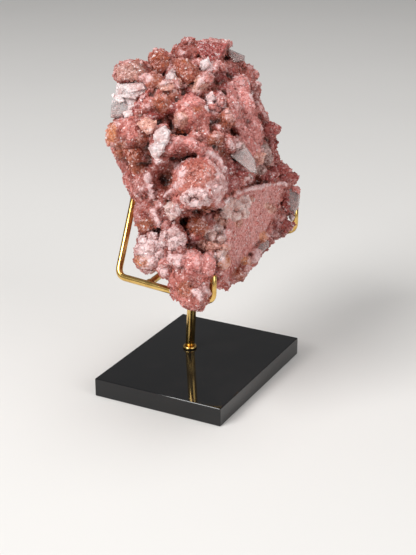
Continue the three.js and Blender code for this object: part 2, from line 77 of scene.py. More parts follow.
def on_sheet(points):
    """Points' places on the sheet along sight lines, and how far they stand out of it, in mm."""
    offset = np.atleast_2d(points) - EYE
    depth = offset @ FORWARD
    reach = SHEET_DISTANCE_MM * MM / depth
    across = (offset @ ACROSS) * reach / MM - SHEET_SHIFT_MM[0]
    up = (offset @ UP) * reach / MM - SHEET_SHIFT_MM[1]
    out = SHEET_DISTANCE_MM - depth / MM
    return across, up, out


def from_sheet(across, up, out=0.0):
    """The point on the sight line through a place on the sheet, out mm in front of it."""
    flat = SHEET_CENTRE + (ACROSS * across + UP * up) * MM
    return EYE + (flat - EYE) * (1 - out / SHEET_DISTANCE_MM)


# Mesh helpers. The noise has two octaves, and the second is half as large as the first.
NOISE_FALL, NOISE_STEP, NOISE_OCTAVES = 1.0, 2.0, 2


def linked(name, data):
    """A new object in the scene, for a mesh, light or camera."""
    obj = bpy.data.objects.new(name, data)
    bpy.context.scene.collection.objects.link(obj)
    return obj


def shade(mesh, smooth):
    mesh.polygons.foreach_set("use_smooth", [smooth] * len(mesh.polygons))


def new_object(name, vertices, faces, smooth=False):
    mesh = bpy.data.meshes.new(name)
    mesh.from_pydata([tuple(v) for v in vertices], [], [tuple(f) for f in faces])
    mesh.update()
    shade(mesh, smooth)
    return linked(name, mesh)


def vertex_array(mesh, value="co"):
    """Each vertex's place, or another of its triples, as rows."""
    flat = np.zeros(len(mesh.vertices) * 3)
    mesh.vertices.foreach_get(value, flat)
    return flat.reshape(-1, 3)


def set_vertices(mesh, points):
    mesh.vertices.foreach_set("co", np.asarray(points, float).ravel())
    mesh.update()


def normal_array(mesh):
    return vertex_array(mesh, "normal")


def with_modifier(obj, kind, **settings):
    """Applies one modifier to the object's own mesh."""
    modifier = obj.modifiers.new(kind, kind)
    for key, value in settings.items():
        setattr(modifier, key, value)
    graph = bpy.context.evaluated_depsgraph_get()
    made = bpy.data.meshes.new_from_object(obj.evaluated_get(graph))
    obj.modifiers.clear()
    old = obj.data
    obj.data = made
    bpy.data.meshes.remove(old)
    return obj


def remeshed(obj, voxel_mm):
    return with_modifier(obj, "REMESH", mode="VOXEL", voxel_size=voxel_mm * MM)


def join(name, objects):
    """One object from several, whose meshes are in the frame's own coordinates."""
    vertices, faces, start = [], [], 0
    for obj in objects:
        points = vertex_array(obj.data)
        vertices.append(points)
        faces += [[start + i for i in polygon.vertices] for polygon in obj.data.polygons]
        start += len(points)
        bpy.data.objects.remove(obj)
    return new_object(name, np.concatenate(vertices), faces)


def smoothed(points, edges, rounds):
    """Points drawn half way to the mean of their neighbours in each round."""
    a, b = edges[:, 0], edges[:, 1]
    count = np.bincount(a, minlength=len(points)) + np.bincount(b, minlength=len(points))
    points = points.copy()
    for _ in range(rounds):
        mean = np.empty_like(points)
        for axis in range(3):
            column = points[:, axis]
            total = np.bincount(a, column[b], len(points)) + np.bincount(b, column[a], len(points))
            mean[:, axis] = total / count
        points += 0.5 * (mean - points)
    return points


def edge_array(mesh):
    flat = np.zeros(len(mesh.edges) * 2, int)
    mesh.edges.foreach_get("vertices", flat)
    return flat.reshape(-1, 2)


def noise_array(points, scale_mm, seed):
    """Smooth noise from about -1 to 1 at points, with features about scale_mm across."""
    shift = Vector((seed * 17.3, seed * 5.9, seed * 31.7))
    at = points / (scale_mm * MM)
    return np.array([noise.fractal(Vector(p) + shift, NOISE_FALL, NOISE_STEP, NOISE_OCTAVES) for p in at])


def set_attribute(mesh, name, values):
    layer = mesh.attributes.get(name) or mesh.attributes.new(name, "FLOAT", "POINT")
    layer.data.foreach_set("value", np.asarray(values, np.float32))


def smooth_step(low, high, value):
    """0 at low, 1 at high and clamped outside."""
    share = np.clip((value - low) / (high - low), 0, 1)
    return share * share * (3 - 2 * share)


# Materials

BUMP_DEPTH_MM = 0.4
CALCITE_IOR = 1.58


def new_material(name):
    """A new material, its tree, its shader, and the object's own coordinates."""
    material = bpy.data.materials.new(name)
    material.use_nodes = True
    tree = material.node_tree
    tree.nodes.clear()
    output = tree.nodes.new("ShaderNodeOutputMaterial")
    shader = tree.nodes.new("ShaderNodeBsdfPrincipled")
    tree.links.new(shader.outputs["BSDF"], output.inputs["Surface"])
    return material, tree, shader, tree.nodes.new("ShaderNodeTexCoord").outputs["Object"]


def feed(tree, socket, value):
    """Links another node's output to a socket, or sets the socket's own value."""
    if isinstance(value, bpy.types.NodeSocket):
        tree.links.new(value, socket)
    elif socket.type == "RGBA":
        socket.default_value = (*value, 1.0)
    else:
        socket.default_value = value


def node(tree, made, **values):
    """A shader node, new or given, with properties and sockets set. Names have _ for spaces."""
    if isinstance(made, str):
        made = tree.nodes.new(made)
    for key, value in values.items():
        if hasattr(made, key):
            setattr(made, key, value)
        else:
            feed(tree, made.inputs[key.replace("_", " ")], value)
    return made


def attribute(tree, name):
    return node(tree, "ShaderNodeAttribute", attribute_name=name).outputs["Fac"]


def math_node(tree, operation, first, second):
    made = node(tree, "ShaderNodeMath", operation=operation)
    feed(tree, made.inputs[0], first)
    feed(tree, made.inputs[1], second)
    return made.outputs[0]


def between(tree, share, low, high):
    """low where share is 0 and high where it is 1."""
    return math_node(tree, "ADD", math_node(tree, "MULTIPLY", share, high - low), low)


def mix_colour(tree, share, first, second, blend="MIX"):
    made = node(tree, "ShaderNodeMix", data_type="RGBA", blend_type=blend, clamp_factor=True)
    for index, value in ((0, share), (6, first), (7, second)):
        feed(tree, made.inputs[index], value)
    return made.outputs[2]


def ramp(tree, value, low, high):
    """0 at low, 1 at high and clamped outside."""
    made = node(tree, "ShaderNodeMapRange", Value=value, From_Min=low, From_Max=high)
    made.interpolation_type = "SMOOTHSTEP"
    return made.outputs["Result"]


def noise_node(tree, place, scale_mm, detail=3.0, roughness=0.55):
    made = node(tree, "ShaderNodeTexNoise", Vector=place, Scale=1 / (scale_mm * MM))
    return node(tree, made, Detail=detail, Roughness=roughness).outputs["Fac"]


def bumped(tree, height, strength):
    made = node(tree, "ShaderNodeBump", Height=height, Strength=strength, Distance=BUMP_DEPTH_MM * MM)
    return made.outputs["Normal"]


# Colours of the stone, and the masks that lay them over brick and dusty pink, in order. The deep
# colour is painted shade in deep hollows, and the dark cavity colour is painted shade in creases
DUSTY_PINK = (0.57, 0.178, 0.146)
BRICK = (0.31, 0.062, 0.042)
CRIMSON = (0.34, 0.052, 0.045)
RUST = (0.37, 0.09, 0.028)
ORANGE = (0.68, 0.25, 0.105)
PALE_PINK = (0.70, 0.26, 0.235)
PEACH = (0.80, 0.47, 0.37)
FROST = (0.80, 0.55, 0.545)
WHITE = (0.84, 0.81, 0.81)
GREY = (0.36, 0.28, 0.25)
# Painted shade for the deepest hollows
PAINTED_DEEP_SHADE = (0.085, 0.02, 0.012)
DARK_GRAIN = (0.45, 0.2, 0.16)
# Painted shade for fine creases
PAINTED_CAVITY_SHADE = (0.3, 0.12, 0.085)
MASK_COLOURS = {
    "red": CRIMSON, "rust": RUST, "pink": PALE_PINK, "peach": PEACH, "orange": ORANGE, "grey": GREY,
    "deep": PAINTED_DEEP_SHADE,
}
# The crust's patches, its grains, and how strongly grains, painted glints and painted shade in cavities
# show
BROAD_MM, MIDDLE_MM, FINE_MM, GRAIN_MM = 15, 4.5, 1.3, 0.9
DARK_GRAIN_SHARE = 0.72
LESS_ON_PALE = 0.62
PALE_GRAIN_SHARE = 0.38
# Painted highlight: how far the brightest grains are mixed towards white as glints
PAINTED_GLINT_SHARE = 0.5
PAINTED_CAVITY_SHADE_SHARE = 0.75
CRUST_BUMP, DRUSE_BUMP, SMOOTH_FACE_BUMP = 0.55, 0.1, 0.3


def crust_material(name, for_grains):
    """Pink calcite crust: brick and pink stone, rust in the hollows, frost on the ridges. Grains are
    light or dark by their tone, and the stone by its speckles. The brightest get painted white
    glints, and creases and deep hollows get painted shade."""
    material, tree, shader, place = new_material(name)
    broad, middle, fine = (noise_node(tree, place, scale) for scale in (BROAD_MM, MIDDLE_MM, FINE_MM))
    white, frosted = attribute(tree, "white"), attribute(tree, "frost")

    def times(first, second):
        return math_node(tree, "MULTIPLY", first, second)

    colour = mix_colour(tree, ramp(tree, broad, 0.36, 0.64), BRICK, DUSTY_PINK)
    # The deep mask lays painted shade into deep hollows; the other masks are the stone's own colours
    for mask, mask_colour in MASK_COLOURS.items():
        share = times(attribute(tree, mask), ramp(tree, middle, 0.12, 0.42))
        colour = mix_colour(tree, share, colour, mask_colour)
    frost = math_node(tree, "ADD", frosted, math_node(tree, "SUBTRACT", fine, 0.5))
    colour = mix_colour(tree, ramp(tree, frost, 0.2, 1.0), colour, FROST)
    colour = mix_colour(tree, white, colour, WHITE)
    grain = node(tree, "ShaderNodeTexVoronoi", Vector=place, Scale=1 / (GRAIN_MM * MM))
    if for_grains:
        tone = attribute(tree, "tone")
    else:
        tone = node(tree, "ShaderNodeSeparateColor", Color=grain.outputs["Color"]).outputs[0]
    pale = times(math_node(tree, "MAXIMUM", white, frosted), LESS_ON_PALE)
    dark = times(ramp(tree, tone, 0.5, 0.0), math_node(tree, "SUBTRACT", DARK_GRAIN_SHARE, pale))
    colour = mix_colour(tree, dark, colour, DARK_GRAIN, "MULTIPLY")
    colour = mix_colour(tree, times(ramp(tree, tone, 0.62, 0.95), PALE_GRAIN_SHARE), colour, FROST)
    # Painted highlight: the brightest grains are mixed towards white as glints
    colour = mix_colour(tree, times(ramp(tree, tone, 0.94, 0.98), PAINTED_GLINT_SHARE), colour, WHITE)
    # Painted shade: fine creases are multiplied by the dark cavity colour
    painted_cavity_shade = times(attribute(tree, "painted_cavity_shade"), PAINTED_CAVITY_SHADE_SHARE)
    bump = DRUSE_BUMP if for_grains else CRUST_BUMP
    strength = between(tree, attribute(tree, "smooth"), bump, SMOOTH_FACE_BUMP * bump)
    node(
        tree, shader,
        Base_Color=mix_colour(tree, painted_cavity_shade, colour, PAINTED_CAVITY_SHADE, "MULTIPLY"),
        Roughness=between(tree, tone, 0.54, 0.2),
        IOR=CALCITE_IOR,
        Subsurface_Weight=0.1,
        Subsurface_Radius=(1.0, 0.45, 0.35),
        Subsurface_Scale=1.5 * MM,
        Normal=bumped(tree, math_node(tree, "ADD", grain.outputs["Distance"], fine), strength),
    )
    return material


def clear_material():
    """Clear calcite, a little pink and broken along flat cleavages."""
    material, tree, shader, place = new_material("clear_calcite")
    frosted = ramp(tree, noise_node(tree, place, 3.0, detail=5), 0.42, 0.66)
    node(
        tree, shader,
        Base_Color=mix_colour(tree, frosted, (0.97, 0.94, 0.93), (0.90, 0.78, 0.76)),
        Transmission_Weight=0.75,
        IOR=CALCITE_IOR,
        Roughness=between(tree, frosted, 0.05, 0.29),
        Normal=bumped(tree, noise_node(tree, place, 1.6, detail=5), 0.14),
    )
    absorption = node(tree, "ShaderNodeVolumeAbsorption", Density=30.0, Color=(0.88, 0.74, 0.68))
    node(tree, tree.nodes["Material Output"], Volume=absorption.outputs["Volume"])
    return material


def brass_material():
    """Polished brass wire with a faint tarnish."""
    material, tree, shader, place = new_material("polished_brass")
    tarnish = ramp(tree, noise_node(tree, place, 9, detail=5), 0.4, 0.7)
    node(
        tree, shader,
        Base_Color=mix_colour(tree, tarnish, (0.83, 0.56, 0.19), (0.62, 0.37, 0.10)),
        Metallic=1.0,
        Roughness=between(tree, noise_node(tree, place, 5), 0.17, 0.25),
    )
    return material


def black_material():
    """Polished black slab with the faintest smudges."""
    material, tree, shader, place = new_material("polished_black")
    smudge = ramp(tree, noise_node(tree, place, 26, detail=6, roughness=0.7), 0.45, 0.75)
    node(
        tree, shader,
        Base_Color=mix_colour(tree, smudge, (0.006, 0.006, 0.0065), (0.011, 0.010, 0.010)),
        Roughness=between(tree, smudge, 0.035, 0.085),
        IOR=1.5,
    )
    return material


def floor_material():
    material, tree, shader, place = new_material("pale_floor")
    colour = mix_colour(tree, noise_node(tree, place, 300), (0.72, 0.705, 0.685), (0.76, 0.745, 0.72))
    node(tree, shader, Base_Color=colour, Roughness=0.85)
    return material


# The stone

STONE_NODE = "calcite_cluster"
STONE_VOXEL_MM = 0.97
MELT_ROUNDS = 60
FRONT_MELT = 0.8
ROUNDING = 1
# How much of what passes the solid's box is drawn back to it
DRAWN_BACK = 0.7
# The stone's relief, which is nearly flat on smooth faces
SWELL_MM, SWELL_DEPTH_MM = 6, 0.45
BUMP_MM, BUMP_HEIGHT_MM, BUMP_SUNK_MM = 2.6, 0.6, 0.16
SMOOTH_FACE = 0.85

# Forms that grow out of the stone: how many corners they have, with more on large ones
LUMP_PROUD = 0.95
LUMP_CORNERS = 17
LARGE_LUMP_MM = 6
LARGE_LUMP_CORNERS = 3
LUMP_SEED = 500
CORNER_SCATTER = 0.2
GOLDEN_ANGLE = math.pi * (3 - math.sqrt(5))

# Knobs, the small pale forms, which stand on the stone as one piece of their own: the largest half
# width, and how far their tops and roots are from the stone's surface in half widths
KNOB_FINISHES = ("frost", "peach", "pale", "snow")
KNOB_SIZE_MM = 4.3
KNOB_CORNERS = 12
KNOB_LOW = 0.9
KNOB_HIGH = 1.6
KNOB_ROOT = 0.4
KNOB_VOXEL_MM = 0.6

# Teeth, shards and crests: a tooth's turn from the one before, how much its belt zigzags out and
# along, a shard's bevel, a crest's steps and swell, and the small chips on all of them
TOOTH_TURN = 17
TOOTH_ZIGZAG_OUT = 0.08
TOOTH_ZIGZAG_ALONG = 0.12
SHARD_BEVEL = 0.35
CREST_STEP = 0.6
CREST_SWELL = 0.15
CRISP_VOXEL_MM = 0.5
CHIP_MM, CHIP_DEPTH_MM = 1.6, 0.2
OUTLINE_MARGIN_MM = 0.8
CLEAR_RECESS = 0.6

# How strongly each finish sets each attribute of the crust
FINISHES = {
    "plain": {},
    "pink": {"pink": 0.9},
    "frost": {"frost": 0.55},
    "peach": {"peach": 0.85, "frost": 0.2},
    "pale": {"peach": 0.95, "frost": 0.6, "white": 0.42},
    "snow": {"frost": 0.85, "white": 0.3},
    "rust": {"rust": 0.75},
    "orange": {"orange": 0.9},
    "red": {"red": 0.9},
    "grey": {"grey": 0.8},
    "white": {"white": 0.8, "frost": 0.5, "smooth": 0.5},
    "plate": {"pink": 0.7, "smooth": 0.75},
    "slope": {"pink": 0.85, "smooth": 0.1},
    "dusty": {"peach": 0.4, "grey": 0.3, "frost": 0.3},
    "dome": {"pink": 0.15, "rust": 0.42},
}
CRUST_ATTRIBUTES = ("frost", "rust", "red", "peach", "grey", "pink", "orange", "white", "smooth")
SHADE_ATTRIBUTES = (*CRUST_ATTRIBUTES, "deep", "painted_cavity_shade")

# Frost on ridges, on what faces up and in patches, and where it settles from
RIDGE_FROST, TOP_FROST, PATCH_FROST, PATCH_MM = 0.46, 0.1, 0.2, 15
FROST_FROM = (0.15, -0.25, 0.95)
HOLLOW_RUST = 0.85
HOLLOW_FROST_LOSS = 0.8

# Forms on the front: across, up, half width, half height, how far they stand out, turn in
# degrees, and their finish. The small ones with a pale finish are the knobs.
LUMPS = [
    # Top left crystals
    (-41.5, 49, 8, 6.2, 5, 15, "plain"), (-45.5, 50, 4, 3.6, 4, 0, "grey"),
    (-37, 52, 3.6, 3.6, 6, 0, "rust"), (-36.5, 46.5, 3.4, 3.2, 5, 0, "plain"),
    (-43.5, 46, 4.4, 3, 4.5, 0, "red"), (-24.8, 53.5, 5.8, 7.6, 8, 10, "rust"),
    (-26.5, 49.5, 4.6, 5.4, 8.5, -20, "plain"), (-19.5, 50, 3.4, 4.2, 4, 0, "frost"),
    # Top knob
    (-8.7, 64, 4.5, 4.3, 5.5, 0, "plain"), (-6.8, 59.5, 4.6, 4.2, 6, 0, "plain"),
    (-11.6, 58.6, 4, 4, 6, 0, "plain"), (-15, 61.5, 2.5, 2.4, 4, 0, "plain"),
    (-15.5, 57, 3.8, 3.4, 4.5, 0, "plain"),
    # Rusty granular crystal below the knob
    (-13, 50, 5.6, 7, 6.5, 25, "rust"), (-7.5, 46.5, 6.4, 6, 7, -15, "rust"),
    (-12, 44.5, 4, 4, 6, 0, "red"), (-27.6, 43.4, 4.8, 4.2, 6, 0, "rust"),
    (-33.5, 45.5, 4.2, 3, 4.5, 0, "frost"),
    # White and pale shards under the top
    (-21.5, 41.4, 4.8, 2.3, 7.5, 12, "peach"), (-15.4, 42, 3, 3.4, 7, -30, "peach"),
    (-12, 40.8, 2.6, 1.5, 6.5, 10, "frost"), (-1.5, 53.6, 4.2, 2.4, 7, -25, "frost"),
    (3.6, 50, 4.8, 3, 8, 40, "frost"), (1.5, 46, 4, 3.2, 8, 10, "frost"),
    (9.5, 51.5, 3.2, 2.4, 7, 0, "frost"), (13.5, 50.5, 2.8, 2.6, 6, 0, "plain"),
    (-1.5, 42.5, 6.2, 4, 7.5, 35, "peach"), (8.5, 45.5, 5, 4, 4.5, 0, "red"),
    (15, 47.5, 4, 3, 5, -30, "red"), (11.5, 39, 5.4, 3.6, 4, 20, "red"),
    # Right shoulder
    (20.5, 53.5, 2.6, 2.4, 4, 0, "plain"), (24.5, 50, 3, 2.8, 4, 0, "plain"),
    (28.5, 47.5, 2.3, 2.3, 3, 0, "frost"), (27.5, 41, 2.2, 3, 4, 0, "frost"),
    (30.3, 42, 1.8, 1.8, 2.5, 0, "plain"), (28.5, 35.5, 2.6, 3.4, 3, 0, "frost"),
    (31.5, 28, 2.4, 3.6, 4, 20, "plain"), (34, 23.5, 2.4, 3.4, 4.5, 20, "plain"),
    (33.8, 18.5, 2.4, 2.8, 4, 0, "frost"), (30, 31, 2.6, 3.4, 3.5, 0, "plain"),
    # Long pink slope below it
    (20, 40, 5.6, 7.4, 7.4, 15, "pink"), (22.5, 30, 6, 9.6, 7.8, 18, "pink"),
    (26.5, 17.5, 5.6, 10.6, 7.8, 16, "pink"), (29.8, 5.8, 2.9, 6.8, 8.5, 14, "pink"),
    (31, 1.5, 2.9, 3, 7, 0, "peach"), (34.5, 5, 3, 4.6, 4, 10, "grey"),
    (37.5, 9.5, 2.3, 3.6, 3.5, 0, "red"), (36, 0.5, 3, 3.6, 4, 0, "grey"),
    # Upper left slope
    (-23.5, 31.5, 5.4, 5.8, 4, 0, "rust"), (-30.5, 30.5, 4.8, 4.4, 4.5, 0, "plain"),
    (-35.5, 25.5, 4.4, 3.6, 4, 0, "plain"), (-27.5, 25, 4.4, 3.4, 4, 0, "red"),
    (-17.5, 36.5, 4, 3.6, 4.5, 0, "rust"), (-18.5, 29, 3.4, 3.8, 4.5, 0, "red"),
    (-6, 37.5, 5, 3.4, 4, -15, "red"),
    # Central crystal, its pale boss and the white crust beside it
    (-7.6, 25, 9.6, 10.4, 9, 8, "plain"), (-12.5, 22.3, 4, 4.4, 13, 0, "peach"),
    (-2.5, 17.5, 5.6, 5.2, 10.5, 0, "plain"), (-3.4, 29.5, 3, 3.2, 11.5, 0, "rust"),
    (-6.5, 33, 6.5, 3, 9, -14, "pink"), (-14.5, 16, 4.4, 3.6, 7, -20, "rust"),
    (3, 34.6, 2.6, 2.4, 7.5, 0, "snow"), (6.6, 32.4, 2.8, 2.6, 8.5, 0, "snow"),
    (10.4, 31, 2.4, 2.2, 8, 0, "snow"), (3.2, 29.5, 2.6, 2.4, 7, 0, "snow"),
    (7, 28, 2.8, 2, 6.5, 0, "frost"),
    (17.4, 29, 2.6, 7.2, 7.6, 24, "pink"), (14.6, 30, 2.6, 5.2, 5.5, 24, "rust"),
    (12.6, 22.6, 5.4, 4.8, 8.5, -25, "rust"), (17.5, 19.5, 4.2, 3, 6.5, -30, "plain"),
    (5, 24.5, 3.4, 4, 5.5, 0, "plain"), (20, 16, 4, 3, 4.5, 0, "red"),
    (8, 16.5, 4.6, 3.6, 5.5, 0, "plain"),
    # Left lobe
    (-39.5, 14.5, 9.6, 9.5, 5.5, 0, "plain"), (-51.5, 14.5, 2.8, 6.4, 3, -12, "orange"),
    (-46.5, 17.5, 4.4, 4.4, 6.5, 0, "plain"), (-41.5, 18.5, 4.2, 3.6, 8, 0, "plain"),
    (-47, 10, 3.8, 4, 7, 0, "rust"), (-35.5, 12.5, 4.6, 4.4, 9.5, 0, "rust"),
    (-41.5, 9.5, 4.4, 4, 9, 0, "plain"), (-45.5, 4, 4.6, 4, 5.5, 0, "rust"),
    (-38.5, 3.5, 5, 4, 7, 0, "rust"), (-44, -1.5, 4.2, 4, 4.5, 0, "plain"),
    (-37, -3.5, 5, 4.6, 5, 0, "rust"), (-31.5, 1.5, 4, 3.4, 5, 0, "red"),
    (-40, -9.5, 5, 6, 5, 15, "plain"), (-35, -15, 5.4, 5.6, 6, 0, "plain"),
    (-31.5, -8.5, 3.6, 3.4, 4, 0, "plain"),
    # Stubby row
    (0.8, 11.2, 4.4, 4.2, 6, 0, "plain"), (6.6, 10.8, 4.4, 4.8, 7.5, 0, "rust"),
    (12.4, 8.8, 4.7, 5.2, 9, 0, "plain"), (18, 7.8, 3.6, 4.4, 10.5, 0, "frost"),
    (20.6, 7, 2.8, 3.4, 8, 0, "grey"), (-5, 12.5, 3.6, 3, 4, 0, "plain"),
    # Big dome, its pale foot, and the lumps round it
    (-3.1, -12.4, 13.2, 12.6, 12, 0, "dome"), (-4.5, -20.8, 8.2, 5.8, 14.6, 10, "frost"),
    (-9.5, -21, 3, 2.8, 15.8, 0, "snow"), (-5, -23.5, 3.2, 2.6, 16.4, 0, "snow"),
    (-1, -19.5, 3, 3, 15.8, 0, "snow"), (-5.8, -18, 3, 2.6, 15.8, 0, "snow"),
    (1.6, -22.8, 2.6, 2.4, 14.5, 0, "snow"), (3.4, -19, 2.6, 2.6, 13.5, 0, "frost"),
    (5.6, -17.5, 5.2, 6.6, 10.5, 20, "frost"), (-11.5, -23.5, 6, 5, 9, 0, "plain"),
    (5.5, -24.6, 4, 2.8, 7, 0, "plain"), (0.5, -26, 4.6, 2.8, 6.5, 0, "rust"),
    (-18.4, -26.6, 3.2, 3.2, 11, 0, "pale"), (-15, -28, 3.2, 3.2, 11.4, 0, "snow"),
    (-17.6, -30.4, 2.8, 2.4, 10.4, 0, "pale"), (-10.5, -28.4, 4, 3, 5, 0, "plain"),
    # Red crystals by the blade
    (14.2, -5, 3, 3.4, 4, 0, "red"), (17, -3.8, 3.2, 2.8, 4, 0, "red"),
    (15.2, -12.5, 4, 4.2, 6, 0, "red"), (18.5, -13, 3, 2.6, 5.5, 0, "red"),
    (13.2, -17, 2.6, 2.4, 4, 0, "red"), (24.5, -11.6, 3.2, 2.2, 4, 0, "frost"),
    (28.5, -11.2, 3.4, 2.6, 4.5, 0, "red"), (31.5, -5.5, 3.6, 3, 5, 0, "grey"),
    (32, -9.5, 4, 3, 6, 0, "plain"), (36.5, -9, 4.4, 3.4, 6, 0, "red"),
    (39.5, -12, 4.6, 2.8, 6, 0, "plain"),
    # Pale lumps on the great plate
    (8.6, -24.4, 2.6, 2.2, 8, 0, "frost"), (12.2, -25.2, 2.9, 2.5, 13, 0, "pale"),
    (15.4, -22.8, 2.1, 1.9, 12, 0, "pale"), (26.2, -21.8, 1.6, 1.6, 9.5, 0, "peach"),
    (18.2, -25.4, 3.5, 3.4, 14, 0, "pale"), (23, -23.4, 3.4, 3.9, 14, 0, "pale"),
    (17.2, -30.8, 3.5, 3, 13.4, 0, "pale"), (22.1, -29.4, 3.1, 3.2, 13, 0, "pale"),
    (8.4, -31.6, 3.3, 3.2, 12, 0, "peach"), (12.6, -29.8, 3.2, 2.9, 13, 0, "pale"),
    (19.2, -35.6, 1.8, 1.8, 10, 0, "peach"), (19.8, -34.4, 1.8, 1.6, 9, 0, "peach"),
    (35.2, -25.4, 1.8, 1.6, 7, 0, "peach"),
    (38, -27.4, 2.4, 2.5, 8.6, 0, "peach"), (42.5, -32, 3.4, 3, 3.5, 0, "frost"),
    # Rusty crystal with pale lumps in front of it
    (-3.4, -36.5, 6, 6.4, 9.5, 0, "rust"), (2.6, -32, 3.6, 3, 8.5, 0, "frost"),
    (3.4, -36.5, 4.4, 4.4, 10, 0, "plain"), (10.6, -34.6, 3.2, 3, 12, 0, "peach"),
    (-5.4, -43, 4.4, 3.6, 8, 0, "red"), (8.6, -38.6, 3.4, 3.4, 14.5, 20, "pale"),
    (9.6, -43.6, 3.2, 3.2, 14.5, 0, "pale"), (11.4, -48.6, 3, 3.2, 13, 0, "peach"),
    (3.8, -41.8, 3.3, 2.9, 14, 0, "pale"), (-0.6, -47, 3, 2.6, 12, -8, "peach"),
    (3.6, -48, 3.3, 2.8, 13.4, 0, "peach"), (8.8, -53, 3.3, 3.2, 13.4, 0, "pale"),
    (4.2, -52.8, 3.4, 2.8, 10.4, 0, "plain"),
    (12.8, -35.4, 3.2, 3.4, 12, 0, "plain"), (13.2, -41, 3, 3.8, 11.5, 0, "pink"),
    (13, -46.6, 3, 3.6, 11.5, 0, "pink"), (11.4, -56.6, 3.6, 4.4, 10.5, 0, "orange"),
    (9.6, -61.4, 3.8, 3.6, 8.5, 0, "pink"), (7, -48, 2.8, 2.8, 13, 0, "peach"),
    # Lower left lobes
    (-33, -31, 6.3, 7.4, 7, 10, "plain"), (-32, -36.4, 5, 4.2, 6, 0, "rust"),
    (-26.5, -31.5, 3.4, 5.6, 5, 25, "frost"), (-21.5, -35.5, 4, 3.4, 5, 0, "frost"),
    (-28.4, -50, 9.6, 10.4, 10, 0, "frost"), (-33.4, -44.6, 3.2, 3, 11, 0, "snow"),
    (-28.4, -42.8, 3.1, 2.8, 11.4, 0, "snow"), (-23.8, -46, 3, 3, 11.4, 0, "snow"),
    (-35, -50, 3, 3.2, 10.4, 0, "snow"), (-29.4, -49, 3.6, 3.3, 12.6, 0, "snow"),
    (-24.4, -52, 3.1, 3, 11.6, 0, "snow"), (-27.6, -56.4, 3.1, 2.8, 10.6, 0, "snow"),
    (-22, -57.4, 2.9, 2.6, 9.6, 0, "frost"), (-21.6, -46, 3.2, 3.4, 10.6, 0, "snow"),
    (-21, -41.6, 2.9, 2.7, 9.4, 0, "snow"), (-19.6, -51, 3.4, 3.8, 9, 0, "frost"),
    (-33, -55.6, 5.4, 4.6, 10, 0, "orange"),
    (-15.4, -45.4, 5.6, 8.6, 7.4, 8, "frost"), (-17.4, -41, 2.9, 2.8, 9.4, 0, "snow"),
    (-12.8, -43.8, 2.8, 3, 9.6, 0, "snow"), (-17, -47, 3, 2.9, 9.8, 0, "snow"),
    (-13, -50.2, 2.8, 2.7, 9.4, 0, "frost"),
    (-21.5, -43.2, 3.6, 4.4, 7.5, 0, "frost"), (-33.5, -41, 3.2, 2.6, 6.5, 0, "plain"),
    (-31, -60, 4.6, 3.2, 7.5, 0, "frost"),
    # Lower body and tip
    (-16, -55.5, 7, 6.4, 8, 0, "frost"), (-20.6, -61, 4.4, 4.6, 7, 0, "frost"),
    (-6, -57, 7.4, 6.6, 7, 0, "pink"), (2, -58.4, 5.4, 6, 6, 0, "pink"),
    (-11.5, -66, 7.6, 6.4, 8, 0, "plain"), (-3.5, -67, 6.6, 6, 7, 0, "plain"),
    (-5.6, -76, 7.6, 6.6, 8, -20, "plain"), (-1.4, -73.8, 5, 4.6, 8, 0, "frost"),
    (-10.4, -72, 4.6, 4.6, 7, 0, "rust"), (-4, -80, 4.4, 3.4, 6, 0, "plain"),
    # Fringe under the great plate
    (33.5, -42.5, 2.6, 3, 3.5, 0, "orange"), (36, -38.6, 2.8, 3.4, 4, 0, "frost"),
    (39, -41.5, 3, 2.6, 4, 0, "frost"), (43.5, -41, 2.8, 2, 4, 0, "frost"),
    (40.5, -36.5, 3, 2.8, 4.5, 0, "red"), (27.5, -53, 4, 4.8, 4, -20, "frost"),
    (23.5, -56.5, 3, 3, 4.5, 0, "orange"), (19.5, -63, 5.4, 4.4, 4.5, 30, "rust"),
    (23.5, -60.5, 3, 2.6, 4, 0, "frost"), (14.5, -67, 3.6, 2.8, 4, 30, "frost"),
]

# Sharp teeth: across, up, half width, half height, reach, lean across, lean up, finish
TEETH = [
    (35.5, 17, 4.6, 4.8, 9.5, 1.6, 0.12, "red"), (39, 9.4, 2.2, 3.4, 3.4, 1.2, 0.1, "red"),
    (39.5, 0.5, 2.6, 2.2, 4, 1.5, 0.1, "red"), (40, -5.2, 4.6, 3.4, 11.5, 1.8, -0.08, "red"),
    (45.2, -9.6, 4, 4.2, 8.8, 1.7, -0.05, "red"), (45, -36, 3.8, 3.9, 8.5, 1.5, -0.1, "red"),
    (19.5, -8, 3.2, 3, 6.5, 1.4, 0, "red"), (12.2, -69.8, 1.9, 2.2, 4.2, 0.3, -1.1, "plain"),
    (-18.1, 46.4, 2.7, 3.3, 7.5, 0.1, 0.5, "white"), (8, 61, 0.9, 1.9, 2, -0.2, 0.3, "white"),
]

# Flat faced plates, which lie as the stone behind them does: how far they stand out, how thick
# they are, their corners on the sheet, and their finish
PLATES = [
    # Flat topped crystal
    (4.5, 13, ((-3, 66), (5.5, 66.8), (14.4, 66), (15.4, 64.4), (13, 62.2), (9.2, 56.2), (6.4, 54.6),
     (0.4, 55.6), (-2.8, 60)), "red"),
    # Great plate
    (2.6, 10, ((12.6, -24), (17.6, -19), (27, -16), (36, -14.2), (45.5, -13), (41.5, -25), (36.6, -34.6),
     (30.6, -44.4), (22, -56), (12.6, -66), (9.4, -61), (12, -45)), "plate"),
    # Long slope under the right shoulder
    (3.4, 9, ((12.5, 40), (21.6, 37.5), (27, 28), (30.5, 14), (33.5, 5.6), (32, 0.5), (26, 1.5),
     (21.5, 11), (17.5, 20), (14, 30)), "slope"),
]

